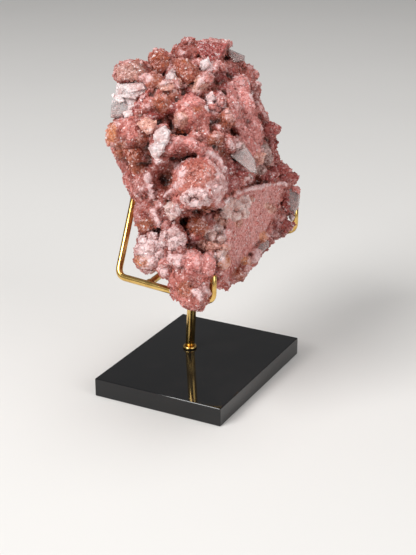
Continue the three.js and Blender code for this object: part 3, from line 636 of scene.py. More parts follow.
# Shards with crisp faces: how far they stand out, how thick they are, how much of the outline the
# front face keeps, their corners on the sheet, and their finish. A glass one is clear.
SHARDS = [
    # Blade and its splinter
    (15.5, 3, 0.88, ((14.6, 2.6), (24, 7), (28.6, 0), (29.5, -7.5), (26, -6.5), (22, -2.5)), "glass"),
    (10.5, 2.4, 0.85, ((24, -6), (27.5, -9), (27, -10.5), (25, -9)), "glass"),
    # Clear crystals at the top, at the great plate's end, in the fringe and in the broken corner
    (5.5, 6, 0.75, ((12.5, 62.5), (18, 59.5), (23, 58), (22.5, 55), (17, 54.5), (14.5, 57.5)), "glass"),
    (2, 8, 0.8, ((46.5, -15), (48.5, -14.5), (53.5, -15), (53, -25), (50.5, -30.5),
     (47, -26.5)), "glass"),
    (2.5, 6, 0.75, ((29.5, -46), (36, -44.5), (36.5, -48), (31.5, -52), (28, -50)), "glass"),
    (5.4, 6, 0.6, ((-51.5, 30.5), (-48.5, 35.5), (-42.5, 34), (-39.5, 27), (-46, 23.2),
     (-51.8, 23.6)), "glass"),
    # Broken corner, in steps
    (1.8, 8, 0.95, ((-48, 42.5), (-32, 44.5), (-30, 38), (-37, 31.5), (-39.5, 25), (-51.5, 23.5),
     (-50.5, 31), (-48.5, 37.5)), "white"),
    (3.2, 4, 0.95, ((-47.5, 42), (-32.5, 44), (-30.5, 39), (-38, 34), (-47.5, 35)), "white"),
    (4.4, 3, 0.9, ((-45.5, 41), (-33.5, 43), (-32, 39.5), (-42, 37)), "white"),
    (3.8, 3, 0.85, ((-42.5, 30), (-37, 31.5), (-37.5, 28.5), (-42, 26.5)), "white"),
    (6.4, 3, 0.8, ((-45.5, 27), (-38.5, 28.5), (-39, 24.5), (-44, 23)), "white"),
    (6.2, 3, 0.8, ((-50.5, 36), (-46, 36.5), (-43.5, 32.5), (-47, 31.5), (-49, 33)), "white"),
    # Crusted crystals of the top left and of the left lobe
    (5.4, 8, 0.8, ((-49, 50.5), (-44.5, 54), (-36.5, 55), (-32.8, 50), (-34.5, 44.5),
     (-48, 44)), "dusty"),
    (8.6, 7, 0.5, ((-31, 51), (-25.9, 59.6), (-22.6, 61.2), (-19.8, 59), (-18.7, 52.3), (-24.2, 47.3),
     (-29.8, 46.8)), "rust"),
    (8, 7, 0.6, ((-16, 55), (-9, 56.5), (-4.5, 52), (-3.5, 45), (-9, 41.8), (-15, 45)), "rust"),
    (8.4, 7, 0.6, ((-47, 19), (-42, 23), (-36.5, 20), (-34.8, 12), (-41, 8), (-47.5, 11)), "plain"),
    (7.6, 6, 0.55, ((-45.5, 6), (-40, 8.5), (-34.5, 5.5), (-35.5, -1), (-42, -2)), "rust"),
    # Pale plates on the left lobe
    (9.5, 6, 0.8, ((-37.5, 20.5), (-32, 24), (-27, 21.5), (-26.5, 18.5), (-28.5, 15), (-31.5, 14.5),
     (-35.5, 18)), "peach"),
    (9.4, 6, 0.8, ((-21.5, 19.5), (-18.4, 16), (-19.4, 9.6), (-24, 8.4), (-28.4, 12.6),
     (-26.6, 16.6)), "white"),
    (7.8, 6, 0.75, ((-20.4, 10.4), (-22.4, 4.6), (-26, 0.4), (-28.4, 1.4), (-30.4, 6.6),
     (-27, 10.6)), "white"),
    # White and pale shards under the top
    (6.5, 4, 0.7, ((-21, 47), (-18.5, 49.5), (-15.5, 48), (-16, 44.5), (-20, 44)), "white"),
    (6, 4, 0.75, ((-26, 42.5), (-21, 43.5), (-16, 41), (-17.5, 38.5), (-24, 38.5)), "peach"),
    (6, 4, 0.7, ((-18, 44.5), (-14, 45), (-13, 40), (-16.5, 39)), "frost"),
    (6.5, 5, 0.7, ((-2.5, 54.5), (2.5, 57), (4.5, 52.5), (-0.5, 49)), "white"),
    (6.5, 5, 0.7, ((4.5, 53.5), (9, 55.5), (8.5, 50), (5, 47)), "frost"),
    (4.5, 4, 0.7, ((8.5, 52.5), (12, 53), (12.5, 49.5), (9, 49)), "frost"),
    # White crust beside the central crystal, and bright edged crystals
    (7, 4, 0.6, ((1, 35.5), (5, 37.5), (7, 33.5), (2.5, 31)), "white"),
    (7, 4, 0.6, ((7, 36), (11.5, 35), (12, 30.5), (8, 30)), "frost"),
    (6, 4, 0.6, ((2.5, 31), (7.5, 31.5), (6.5, 28), (2, 28.5)), "frost"),
    (7.5, 5, 0.6, ((16, 33.5), (19, 34), (21.5, 29), (20, 24), (17, 24.5), (15, 29)), "frost"),
    (6, 5, 0.6, ((27.5, 9.5), (31, 11), (33, 8), (32.5, 0), (29.5, -3.5), (27, 0)), "frost"),
    # Top edge of the flat topped crystal, and the red face at the great plate's end
    (5.4, 9, 0.9, ((-3, 66), (5, 67), (14, 66), (15, 64.5), (6, 64.5), (-2.5, 64.5)), "frost"),
    (4.8, 9, 0.93, ((-2.5, 64.5), (6, 64.5), (14, 65), (9, 56), (7, 55), (1.5, 56), (-2, 60)), "red"),
    (7.5, 6, 0.85, ((43, -17.5), (46.5, -15.5), (47.5, -25), (46.5, -30), (44, -26)), "red"),
    # Pink cap and white piece on the clear end crystal
    (3, 6, 0.7, ((48.5, -15), (52, -14.5), (54, -16.5), (53, -19.5), (49, -17.5)), "pink"),
    (2, 4, 0.6, ((47.5, -29.5), (51, -31.5), (49, -34.5), (47.5, -32.5)), "white"),
]

# Crests that run over the stone: their half width and how far they stand out, points across and
# up, and their finish
CRESTS = [
    (3.3, 9, ((-18.6, 7.4), (-13.4, 10), (-7.6, 9.4), (-2, 6), (3, 3)), "pink"),
    (3, 9, ((3, 3), (7.6, -0.6), (10.4, -5.6), (11.5, -11), (11, -16.6)), "frost"),
    (2.3, 4, ((-15.6, -1.8), (-12.4, -6.4), (-12.6, -12.6), (-16.6, -17), (-20.4, -19.6)), "frost"),
    (2.2, 3, ((-31.6, -9.4), (-29.8, -16), (-28.4, -22), (-24.4, -25.6)), "frost"),
    (2.1, 3.6, ((-26, 0), (-20.4, -0.4), (-16.4, -2.4)), "frost"),
    (1.4, 6.4, ((10.5, -24.6), (17.6, -18.8), (27, -16), (36, -14.2), (45.5, -13)), "frost"),
    (1.1, 4, ((-46.5, 23.5), (-41, 25.4), (-35.6, 32), (-29.6, 38.4)), "red"),
    (1.2, 9.5, ((5.2, 0), (8.2, -5), (9, -11), (8.6, -16), (7, -20.5)), "frost"),
]

# Hollows pressed into the stone between the forms: across, up, half width, half height, depth
HOLLOWS = [
    (-14.6, 2.2, 6.6, 2.6, 5), (-21.6, -9.6, 5.2, 6.6, 3), (-9.6, -34, 3, 2.6, 5),
    (12.6, 57.4, 3, 2.6, 7), (15.6, 1.6, 4, 2, 6), (15, -19.6, 4, 1.6, 7), (22.4, -15.6, 4, 1.4, 7),
    (-3, -52, 5, 2.2, 5), (-33, -1.6, 5, 2, 3.5), (7, -53.6, 3, 3, 4), (30, -13, 4, 1.2, 6),
    (13.6, 13, 4, 2, 4), (-20, 24, 3, 3.6, 4), (-17.4, 34, 2.2, 2.2, 3),
    (-25.4, -26.6, 3, 2, 3.5), (2.6, -29, 3.6, 1.6, 4), (5.6, 39.6, 3, 3, 3.5), (-25.4, 22.4, 3, 2, 3.5),
]


def cad_copy(node_name):
    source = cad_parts[node_name].data
    faces = [polygon.vertices[:] for polygon in source.polygons]
    return new_object(node_name + "_copy", vertex_array(source), faces)


def melted_stone():
    """The CAD solid with its front crystals melted down, which the forms then grow on."""
    stone = remeshed(cad_copy(STONE_NODE), STONE_VOXEL_MM)
    edges = edge_array(stone.data)
    crisp = smoothed(vertex_array(stone.data), edges, 3)
    melted = smoothed(crisp, edges, MELT_ROUNDS)
    share = smooth_step(-0.1, 0.45, normal_array(stone.data) @ OUT)[:, None] * FRONT_MELT
    set_vertices(stone.data, crisp + share * (melted - crisp))
    return stone


def surface_tree(obj):
    """An object's faces, for casting sight lines on."""
    polygons = [polygon.vertices[:] for polygon in obj.data.polygons]
    return BVHTree.FromPolygons([tuple(v) for v in vertex_array(obj.data)], polygons)


def seat(tree, across, up):
    """How far the stone stands out of the sheet on a sight line. A place past the stone's edge
    takes the value of the nearest place on the way to the middle that meets it."""
    for share in np.arange(1, 0, -0.02):
        front = front_of(tree, across * share, up * share)
        if front is not None:
            return front
    raise ValueError(f"no stone under {across}, {up}")


def turned(across, up, degrees):
    """Places turned round the middle of the sheet."""
    a = math.radians(degrees)
    return across * math.cos(a) - up * math.sin(a), across * math.sin(a) + up * math.cos(a)


def hull_object(name, points):
    """The closed convex mesh round points."""
    shape = bmesh.new()
    for point in points:
        shape.verts.new(point)
    bmesh.ops.convex_hull(shape, input=shape.verts)
    inner = [vertex for vertex in shape.verts if not vertex.link_faces]
    bmesh.ops.delete(shape, geom=inner, context="VERTS")
    bmesh.ops.recalc_face_normals(shape, faces=shape.faces)
    mesh = bpy.data.meshes.new(name)
    shape.to_mesh(mesh)
    shape.free()
    return linked(name, mesh)


def uneven_corners(index, count):
    """Corners spread over a ball of about unit size, no two crystals alike."""
    random = np.random.default_rng(LUMP_SEED + index)
    height = 1 - 2 * (np.arange(count) + 0.5) / count
    angle = GOLDEN_ANGLE * np.arange(count) + index
    flat = np.sqrt(1 - height**2)
    points = np.column_stack((flat * np.cos(angle), flat * np.sin(angle), height))
    points += random.normal(0, CORNER_SCATTER * math.sqrt(LUMP_CORNERS / count), points.shape)
    points /= np.linalg.norm(points, axis=1, keepdims=True)
    return points * (1.0 + CORNER_SCATTER * random.random((count, 1)) * LUMP_CORNERS / count)


def front_of(tree, across, up):
    """How far a surface stands out of the sheet on a sight line, or None off it."""
    aim = from_sheet(across, up) - EYE
    hit = tree.ray_cast(Vector(EYE), Vector(aim / np.linalg.norm(aim)))[0]
    return None if hit is None else float(on_sheet(np.array(hit))[2][0])


def crystal_object(row, index, corners, top, depth):
    """A stout crystal with uneven flat faces, whose front is top mm out of the sheet."""
    across, up, half_width, half_height, _, turn_degrees, _ = row
    points = uneven_corners(index, corners)
    x, y = turned(points[:, 0] * half_width, points[:, 1] * half_height, turn_degrees)
    middle = from_sheet(across, up, top - depth)
    placed = middle + (np.outer(x, ACROSS) + np.outer(y, UP) + np.outer(points[:, 2] * depth, OUT)) * MM
    return hull_object("form", placed)


def lump_object(tree, row, index):
    """A form that grows out of the melted stone."""
    across, up, half_width, half_height, proud = row[:5]
    proud *= LUMP_PROUD
    more = max(0, int(LARGE_LUMP_CORNERS * (max(half_width, half_height) - LARGE_LUMP_MM)))
    depth = max(proud, 0.8 * min(half_width, half_height)) + 1.0
    return crystal_object(row, index, LUMP_CORNERS + more, seat(tree, across, up) + proud, depth)


def knob_object(tree, stone_tree, row, index):
    """A small crystal that stands on the finished stone."""
    across, up, half_width, half_height, proud = row[:5]
    size = min(half_width, half_height)
    surface = seat(stone_tree, across, up)
    top = seat(tree, across, up) + proud * LUMP_PROUD
    top = min(max(top, surface + KNOB_LOW * size), surface + KNOB_HIGH * size)
    return crystal_object(row, index, KNOB_CORNERS, top, top - surface + KNOB_ROOT * size)


def tooth_object(tree, row, index):
    """A scalenohedral tooth: six zigzag corners round its belt and a sharp tip."""
    across, up, half_width, half_height, reach, lean_across, lean_up, _ = row
    axis = ACROSS * lean_across + UP * lean_up + OUT
    axis /= np.linalg.norm(axis)
    side = np.cross(UP, axis)
    side /= np.linalg.norm(side)
    other = np.cross(axis, side)
    foot = from_sheet(across, up, seat(tree, across, up))
    vertices = [foot - axis * reach * MM, foot + axis * reach * MM]
    for k in range(6):
        swing = 1 if k % 2 else -1
        angle = math.radians(60 * k + TOOTH_TURN * index)
        ring = side * math.cos(angle) * half_width + other * math.sin(angle) * half_height
        corner = ring * (1 + TOOTH_ZIGZAG_OUT * swing) + axis * reach * TOOTH_ZIGZAG_ALONG * swing
        vertices.append(foot + corner * MM)
    faces = []
    for k in range(6):
        a, b = 2 + k, 2 + (k + 1) % 6
        faces += [(0, b, a), (1, a, b)]
    return new_object("form", vertices, faces)


def plate_object(tree, row):
    """A plate whose flat face fits the stone's front behind its corners best."""
    proud, thick, corners, _ = row
    places = np.column_stack((corners, np.ones(len(corners))))
    seats = [seat(tree, a, u) for a, u in corners]
    face = places @ np.linalg.lstsq(places, seats, rcond=None)[0] + proud
    front = [from_sheet(a, u, out) for (a, u), out in zip(corners, face)]
    back = [from_sheet(a, u, out - thick) for (a, u), out in zip(corners, face)]
    count = len(corners)
    faces = [tuple(reversed(range(count))), tuple(count + k for k in range(count))]
    faces += [(k, (k + 1) % count, count + (k + 1) % count, count + k) for k in range(count)]
    return new_object("form", front + back, faces)


def shard_object(tree, row, name="form"):
    """A shard that faces the camera, with a bevelled rim."""
    proud, thick, kept, corners, _ = row
    corners = np.array(corners, float)
    middle = corners.mean(0)
    out = seat(tree, *middle)
    rim = out + proud - SHARD_BEVEL * thick
    inner = middle + kept * (corners - middle)
    points = [from_sheet(a, u, out + proud) for a, u in inner]
    points += [from_sheet(a, u, rim) for a, u in corners]
    points += [from_sheet(a, u, out + proud - thick) for a, u in inner]
    return hull_object(name, points)


def crest_objects(tree, row):
    """A crest, as a run of overlapping forms."""
    width, proud, places, _ = row
    made = []
    for (a, u), (b, v) in zip(places, places[1:]):
        steps = max(2, int(math.hypot(b - a, v - u) / (CREST_STEP * width)))
        for share in np.linspace(0, 1, steps):
            across, up = a + share * (b - a), u + share * (v - u)
            swell = 1 + CREST_SWELL * noise.noise(Vector((across, up, 0.0)) * 0.35)
            size = width * swell
            made.append(lump_object(tree, (across, up, size, size, proud * swell, 0, ""), len(made)))
    return made


def press_hollows(mesh):
    """Pushes the stone's front in at the hollows, and behind the clear crystals."""
    points = vertex_array(mesh)
    across, up, _ = on_sheet(points)
    front = smooth_step(-0.3, 0.3, normal_array(mesh) @ OUT)
    depth = np.zeros(len(points))
    for a, u, half_width, half_height, deep in HOLLOWS:
        radius = np.hypot((across - a) / half_width, (up - u) / half_height)
        depth = np.maximum(depth, deep * smooth_step(1.15, 0.35, radius))
    for _, thick, _, corners, finish in SHARDS:
        if finish == "glass":
            depth = np.maximum(depth, CLEAR_RECESS * thick * inside_polygon(across, up, corners))
    set_vertices(mesh, points - OUT * (depth * front * MM)[:, None])


def stone_form():
    """The stone's closed mesh, which is the melted CAD solid with the forms on it, and the pieces
    that stand on it: the points, the clear crystals and the knobs."""
    core = melted_stone()
    tree = surface_tree(core)
    knobs = [(index, row) for index, row in enumerate(LUMPS) if is_knob(row)]
    forms = [lump_object(tree, row, index) for index, row in enumerate(LUMPS) if not is_knob(row)]
    forms += [plate_object(tree, row) for row in PLATES]
    for row in CRESTS:
        forms += crest_objects(tree, row)
    press_hollows(core.data)
    points_piece, clear = crisp_objects(tree)
    stone = remeshed(join("calcite_stone", [core, *forms]), STONE_VOXEL_MM)
    mesh = stone.data
    points = smoothed(vertex_array(mesh), edge_array(mesh), ROUNDING)
    low, high = np.array(cad_box)
    points -= DRAWN_BACK * (np.minimum(points - low, 0) + np.maximum(points - high, 0))
    set_vertices(mesh, points)
    normals = normal_array(mesh)
    rough = 1 - SMOOTH_FACE * form_masks(points, normals)["smooth"]
    swell = noise_array(points, SWELL_MM, seed=1) * SWELL_DEPTH_MM
    bumps = np.abs(noise_array(points, BUMP_MM, seed=2)) * BUMP_HEIGHT_MM - BUMP_SUNK_MM
    set_vertices(mesh, points + normals * ((swell + bumps) * rough * MM)[:, None])
    stone_tree = surface_tree(stone)
    knobs = [(knob_object(tree, stone_tree, row, index), row[-1]) for index, row in knobs]
    return stone, points_piece, clear, crusted("calcite_knobs", knobs, KNOB_VOXEL_MM)


def is_knob(row):
    """Whether a form is a small pale one, which stands on the stone as a piece of its own."""
    return row[-1] in KNOB_FINISHES and max(row[2], row[3]) < KNOB_SIZE_MM


def crusted(name, pieces, voxel_mm):
    """One mesh from crusted pieces, each with its own finish."""
    for obj, _ in pieces:
        points = vertex_array(remeshed(obj, voxel_mm).data)
        chips = noise_array(points, CHIP_MM, seed=5)[:, None] * CHIP_DEPTH_MM * MM
        set_vertices(obj.data, points + normal_array(obj.data) * chips)
    counts = [len(obj.data.vertices) for obj, _ in pieces]
    finishes = [FINISHES[finish] for _, finish in pieces]
    made = join(name, [obj for obj, _ in pieces])
    uneven = 0.8 + 0.5 * noise_array(vertex_array(made.data), scale_mm=3.5, seed=6)
    for key in SHADE_ATTRIBUTES:
        strength = np.repeat([finish.get(key, 0.0) for finish in finishes], counts)
        set_attribute(made.data, key, np.clip(strength * uneven, 0, 1))
    return made


def crisp_objects(tree):
    """The teeth and shards: one mesh of the crusted ones, and each clear one."""
    pieces = [(tooth_object(tree, row, index), row[-1]) for index, row in enumerate(TEETH)]
    clear = []
    for row in SHARDS:
        if row[-1] == "glass":
            clear.append(shard_object(tree, row, f"clear_crystal_{len(clear) + 1}"))
        else:
            pieces.append((shard_object(tree, row), row[-1]))
    return crusted("calcite_points", pieces, CRISP_VOXEL_MM), clear


def inside_polygon(across, up, corners):
    """1 inside a convex outline on the sheet and 0 past its margin."""
    corners = np.array(corners)
    middle = corners.mean(0)
    inside = np.ones(len(across))
    for first, second in zip(corners, np.roll(corners, -1, axis=0)):
        edge = second - first
        normal = np.array((-edge[1], edge[0])) / max(np.hypot(*edge), 1e-9)
        if normal @ (middle - first) < 0:
            normal = -normal
        distance = (across - first[0]) * normal[0] + (up - first[1]) * normal[1]
        inside = np.minimum(inside, smooth_step(-OUTLINE_MARGIN_MM, OUTLINE_MARGIN_MM, distance))
    return inside


def gap_to_line(across, up, first, second):
    """How far places on the sheet are from the straight line between two others."""
    (a, u), (b, v) = first, second
    along = ((across - a) * (b - a) + (up - u) * (v - u)) / ((b - a) ** 2 + (v - u) ** 2)
    along = np.clip(along, 0, 1)
    return np.hypot(across - a - along * (b - a), up - u - along * (v - u))


def form_masks(points, normals):
    """How much of each attribute the forms' finishes give each point."""
    across, up, _ = on_sheet(points)
    front = smooth_step(-0.35, 0.1, normals @ OUT)
    masks = {name: np.zeros(len(points)) for name in CRUST_ATTRIBUTES}

    def lay(share, finish):
        for name, strength in FINISHES[finish].items():
            masks[name] = np.maximum(masks[name], share * front * strength)

    for a, u, half_width, half_height, _, turn_degrees, finish in LUMPS:
        x, y = turned(across - a, up - u, -turn_degrees)
        lay(smooth_step(1.2, 0.75, np.hypot(x / half_width, y / half_height)), finish)
    for _, _, corners, finish in PLATES:
        lay(inside_polygon(across, up, corners), finish)
    for width, _, places, finish in CRESTS:
        for first, second in zip(places, places[1:]):
            lay(smooth_step(1.3, 0.6, gap_to_line(across, up, first, second) / width), finish)
    return masks


def paint(stone):
    """Attributes that the crust's material reads: what the forms' finishes give, frost on ridges
    and tops, and rust, painted deep shade and painted cavity shade where the surface sinks below its
    mean."""
    mesh = stone.data
    edges = edge_array(mesh)
    points, normals = vertex_array(mesh), normal_array(mesh)
    near = smoothed(points, edges, 5)
    far = smoothed(near, edges, 30)
    ridge = ((points - near) * normals).sum(1) / MM
    relief = ((near - far) * normals).sum(1) / MM
    masks = form_masks(points, normals)
    upward = normals @ np.array(FROST_FROM)
    frost = RIDGE_FROST * smooth_step(0.05, 0.5, ridge + 0.3 * relief)
    frost += TOP_FROST * smooth_step(0.1, 1, upward)
    frost += PATCH_FROST * noise_array(points, PATCH_MM, seed=3)
    frost += masks["frost"] * (0.75 + 0.5 * np.clip(relief, -1, 1))
    hollow = smooth_step(-0.15, -0.9, relief)
    masks["rust"] = np.maximum(masks["rust"], hollow * HOLLOW_RUST) * (1 - masks["frost"])
    masks["frost"] = frost * (1 - HOLLOW_FROST_LOSS * hollow)
    # Painted shade: the deep colour where the relief sinks deepest
    masks["deep"] = smooth_step(-0.3, -1.1, relief)
    # Painted shade: the cavity colour in fine creases
    masks["painted_cavity_shade"] = smooth_step(-0.03, -0.4, ridge)
    for name in SHADE_ATTRIBUTES:
        set_attribute(mesh, name, np.clip(masks[name], 0, 1))


# The druse: name, seed, how many crystals, sides, half widths in mm, how strongly small ones
# outnumber large ones, heights in half widths, and how much they lean
DRUSE = [
    ("calcite_druse_1", 40, 26000, 3, (0.27, 0.6), 2.2, (0.7, 1.3), 0.36),
    ("calcite_druse_2", 41, 26000, 3, (0.27, 0.6), 2.2, (0.7, 1.3), 0.36),
    ("calcite_druse_3", 42, 26000, 3, (0.27, 0.6), 2.2, (0.7, 1.3), 0.36),
    ("calcite_crystals", 43, 7600, 6, (0.6, 1.7), 2.2, (0.4, 1.0), 0.45),
]
# A crystal's belt and root in half widths, and how much sparser and smaller it is on smooth faces
BELT_SWING = 0.14
BELT_HEIGHT = 0.1
ROOT_DEPTH = 0.6
SMOOTH_SPARSER = 0.65
SMOOTH_SMALLER = 0.4


def skin(objects):
    """The triangles, points, normals and attributes of several meshes as one set of arrays."""
    triangles, points, normals, start = [], [], [], 0
    values = {key: [] for key in SHADE_ATTRIBUTES}
    for mesh in (obj.data for obj in objects):
        mesh.calc_loop_triangles()
        corners = np.zeros(len(mesh.loop_triangles) * 3, int)
        mesh.loop_triangles.foreach_get("vertices", corners)
        triangles.append(corners.reshape(-1, 3) + start)
        points.append(vertex_array(mesh))
        normals.append(normal_array(mesh))
        for key in SHADE_ATTRIBUTES:
            column = np.zeros(len(mesh.vertices), np.float32)
            mesh.attributes[key].data.foreach_get("value", column)
            values[key].append(column)
        start += len(mesh.vertices)
    values = {key: np.concatenate(columns) for key, columns in values.items()}
    return np.concatenate(triangles), np.concatenate(points), np.concatenate(normals), values


def druse_object(row, surface, material):
    """Small pointed crystals strewn over the stone, its points and its knobs, as one mesh."""
    name, seed, count, sides, widths, power, heights, lean = row
    triangles, points, normals, values = surface
    corners = points[triangles]
    area = np.linalg.norm(np.cross(corners[:, 1] - corners[:, 0], corners[:, 2] - corners[:, 0]), axis=1)
    share_of = area * (1 - SMOOTH_SPARSER * values["smooth"][triangles].mean(1))
    random = np.random.default_rng(seed)
    chosen = triangles[random.choice(len(triangles), count, p=share_of / share_of.sum())]
    share = random.random((count, 2))
    share = np.where(share.sum(1, keepdims=True) > 1, 1 - share, share)
    weights = np.column_stack((1 - share.sum(1), share))
    at = (points[chosen] * weights[:, :, None]).sum(1)
    axis = (normals[chosen] * weights[:, :, None]).sum(1) + random.normal(0, lean, (count, 3))
    axis /= np.linalg.norm(axis, axis=1, keepdims=True)
    side = np.cross(axis, random.normal(0, 1, axis.shape))
    side /= np.linalg.norm(side, axis=1, keepdims=True)
    other = np.cross(axis, side)
    size = (widths[0] + (widths[1] - widths[0]) * random.random(count) ** power) * MM
    size *= 1 - SMOOTH_SMALLER * (values["smooth"][chosen] * weights).sum(1)
    tall = size * (heights[0] + (heights[1] - heights[0]) * random.random(count))
    rows = sides + 2
    vertices = np.empty((count, rows, 3))
    vertices[:, 0] = at - axis * (ROOT_DEPTH * size)[:, None]
    for k in range(sides):
        angle = 2 * math.pi * k / sides
        swing = BELT_SWING * (1 if k % 2 else -1) if sides == 6 else 0
        belt = side * math.cos(angle) + other * math.sin(angle)
        vertices[:, 1 + k] = at + (
            belt * (1 + swing) + axis * (BELT_HEIGHT + swing)
        ) * size[:, None]
    vertices[:, -1] = at + axis * tall[:, None]
    one = []
    for k in range(sides):
        a, b = 1 + k, 1 + (k + 1) % sides
        one += [(0, b, a), (rows - 1, a, b)]
    faces = (np.array(one)[None] + rows * np.arange(count)[:, None, None]).reshape(-1, 3)
    druse = new_object(name, vertices.reshape(-1, 3), faces)
    for key in SHADE_ATTRIBUTES:
        grain = (values[key][chosen] * weights).sum(1)
        set_attribute(druse.data, key, np.repeat(grain, rows))
    set_attribute(druse.data, "tone", np.repeat(random.random(count), rows))
    druse.data.materials.append(material)
    return druse


# The stand

EASEL_TURN = 3.1
WIRE_RADIUS_MM = 1.9
WIRE_BEND_MM = 5.5
WIRE_HEIGHT_MM = 74
EASEL_MIDDLE_Y_MM = 3.1
ARM_BACK_MM = (-28.8, 47.8)
ARM_FRONT_MM = (33.9, 60.2)
HOOK_HEIGHT_MM = 15
PRONG_RISE_MM = 62
PRONG_INWARD_MM = 36
PRONG_BACK_MM = 1
POST_RADIUS_MM = 2.75
POST_FOOT_MM = (-11.2, 9.9)
POST_TOP_X_MM = -8
COLLAR_RADIUS_MM = 4.1
BASE_SIZE_MM = (80, 104.5, 10.8)
BASE_BEVEL_MM = 0.6
CUT_END_MM = 0.35
WIRE_SIDES, POST_SIDES, COLLAR_SIDES = 28, 36, 48
# The collar's outline: how far in from its radius, and how high
COLLAR_OUTLINE_MM = ((0, 0), (0, 0.75), (0.12, 1.1), (0.45, 1.38), (0.8, 1.5))
COLLAR_GAP_MM = 0.1
# The lumps of braze: half sizes, and how far the end ones are inside the bar's ends
POST_BRAZE_MM = (3.1, 4.0, 2.7)
END_BRAZE_MM = (3.0, 2.8, 2.35)
END_BRAZE_INSET_MM = 2.0
BRAZE_RINGS, BRAZE_SIDES = 7, 14
BRAZE_UNEVEN = 0.12
BAR_VOXEL_MM = 0.35


def easel(point_mm):
    """A point of the easel, which is turned a little on its base, in metres."""
    return np.array(Matrix.Rotation(math.radians(EASEL_TURN), 3, "Z") @ Vector(point_mm)) * MM


def bent_line(points, bend_mm, steps=8):
    """The line through points with its corners rounded."""
    line = [points[0]]
    for before, corner, after in zip(points, points[1:], points[2:]):
        start = corner + (before - corner) / np.linalg.norm(before - corner) * bend_mm * MM
        end = corner + (after - corner) / np.linalg.norm(after - corner) * bend_mm * MM
        for share in np.linspace(0, 1, steps):
            line.append((1 - share) ** 2 * start + 2 * share * (1 - share) * corner + share**2 * end)
    line.append(points[-1])
    return np.array(line)


def tube(name, line, radius_mm, sides=WIRE_SIDES):
    """A round wire along a line, with its cut ends slightly rounded."""
    radius, cap = radius_mm * MM, CUT_END_MM * MM
    line = [line[0], line[0] + (line[1] - line[0]) * 1e-3, *line[1:-1],
            line[-1] + (line[-2] - line[-1]) * 1e-3, line[-1]]
    line = np.array(line)
    tangent = np.gradient(line, axis=0)
    tangent /= np.linalg.norm(tangent, axis=1, keepdims=True)
    side = np.cross(tangent[0], (0.31, 0.52, 0.79))
    last = len(line) - 1
    radii = {0: radius - cap, last: radius - cap}
    shifts = {1: cap, last - 1: -cap}
    vertices, faces = [], []
    for i, (centre, along) in enumerate(zip(line, tangent)):
        side = side - along * (side @ along)
        side /= np.linalg.norm(side)
        other = np.cross(along, side)
        for k in range(sides):
            angle = 2 * math.pi * k / sides
            round_at = side * math.cos(angle) + other * math.sin(angle)
            vertices.append(centre + along * shifts.get(i, 0.0) + round_at * radii.get(i, radius))
    for i in range(last):
        for k in range(sides):
            a, b = i * sides + k, i * sides + (k + 1) % sides
            faces.append((a, b, b + sides, a + sides))
    faces.append(tuple(reversed(range(sides))))
    faces.append(tuple(last * sides + k for k in range(sides)))
    return new_object(name, vertices, faces, smooth=True)


def arm_points(side):
    """An arm's corners, from the hook in front to the end of the prong."""
    def at(x, spread, z):
        return easel((x, EASEL_MIDDLE_Y_MM + side * spread, z))

    (back_x, back_spread), (front_x, front_spread) = ARM_BACK_MM, ARM_FRONT_MM
    return [
        at(front_x, front_spread, WIRE_HEIGHT_MM + HOOK_HEIGHT_MM),
        at(front_x, front_spread, WIRE_HEIGHT_MM),
        at(back_x, back_spread, WIRE_HEIGHT_MM),
        at(back_x - PRONG_BACK_MM, back_spread - PRONG_INWARD_MM, WIRE_HEIGHT_MM + PRONG_RISE_MM),
    ]


def bar_end(side):
    """Where the cross bar meets an arm."""
    share = (POST_TOP_X_MM - ARM_BACK_MM[0]) / (ARM_FRONT_MM[0] - ARM_BACK_MM[0])
    spread = ARM_BACK_MM[1] + share * (ARM_FRONT_MM[1] - ARM_BACK_MM[1])
    return easel((POST_TOP_X_MM, EASEL_MIDDLE_Y_MM + side * spread, WIRE_HEIGHT_MM))


def ball(centre, radii_mm, seed):
    """An uneven lump of braze, of rings between two poles."""
    grid = [
        (math.pi * (i + 1) / (BRAZE_RINGS + 1), 2 * math.pi * j / BRAZE_SIDES)
        for i in range(BRAZE_RINGS) for j in range(BRAZE_SIDES)
    ]
    places = [(math.sin(a) * math.cos(b), math.sin(a) * math.sin(b), math.cos(a)) for a, b in grid]
    vertices = []
    for v in np.array([*places, (0, 0, 1), (0, 0, -1)]):
        swell = 1 + BRAZE_UNEVEN * noise.noise(Vector(v * 1.7) + Vector((seed, 0, 0)))
        vertices.append(centre + v * np.array(radii_mm) * MM * swell)
    pole, last_ring = len(grid), len(grid) - BRAZE_SIDES
    faces = []
    for j in range(BRAZE_SIDES):
        after = (j + 1) % BRAZE_SIDES
        for start in range(0, last_ring, BRAZE_SIDES):
            next_ring = start + BRAZE_SIDES
            faces.append((start + j, next_ring + j, next_ring + after, start + after))
        faces += [(pole, j, after), (pole + 1, last_ring + after, last_ring + j)]
    return new_object("braze", vertices, faces)


def cross_bar():
    """The bar between the arms, brazed to them and to the post."""
    ends = [bar_end(-1), bar_end(1)]
    top = easel((POST_TOP_X_MM, POST_FOOT_MM[1], WIRE_HEIGHT_MM - 1))
    parts = [tube("bar", np.array(ends), WIRE_RADIUS_MM), ball(top, POST_BRAZE_MM, 1)]
    for index, end in enumerate(ends):
        inward = (ends[1 - index] - end) / np.linalg.norm(ends[1 - index] - end)
        parts.append(ball(end + inward * END_BRAZE_INSET_MM * MM, END_BRAZE_MM, 3 + index))
    bar = remeshed(join("cross_bar_brazed", parts), BAR_VOXEL_MM)
    set_vertices(bar.data, smoothed(vertex_array(bar.data), edge_array(bar.data), 4))
    shade(bar.data, True)
    return bar


def post():
    """The rod, from the slab to under the cross bar."""
    foot = easel((*POST_FOOT_MM, BASE_SIZE_MM[2] + 0.6))
    top = easel((POST_TOP_X_MM, POST_FOOT_MM[1], WIRE_HEIGHT_MM - WIRE_RADIUS_MM - 0.3))
    return tube("post_rod", np.array([foot, top]), POST_RADIUS_MM, POST_SIDES)


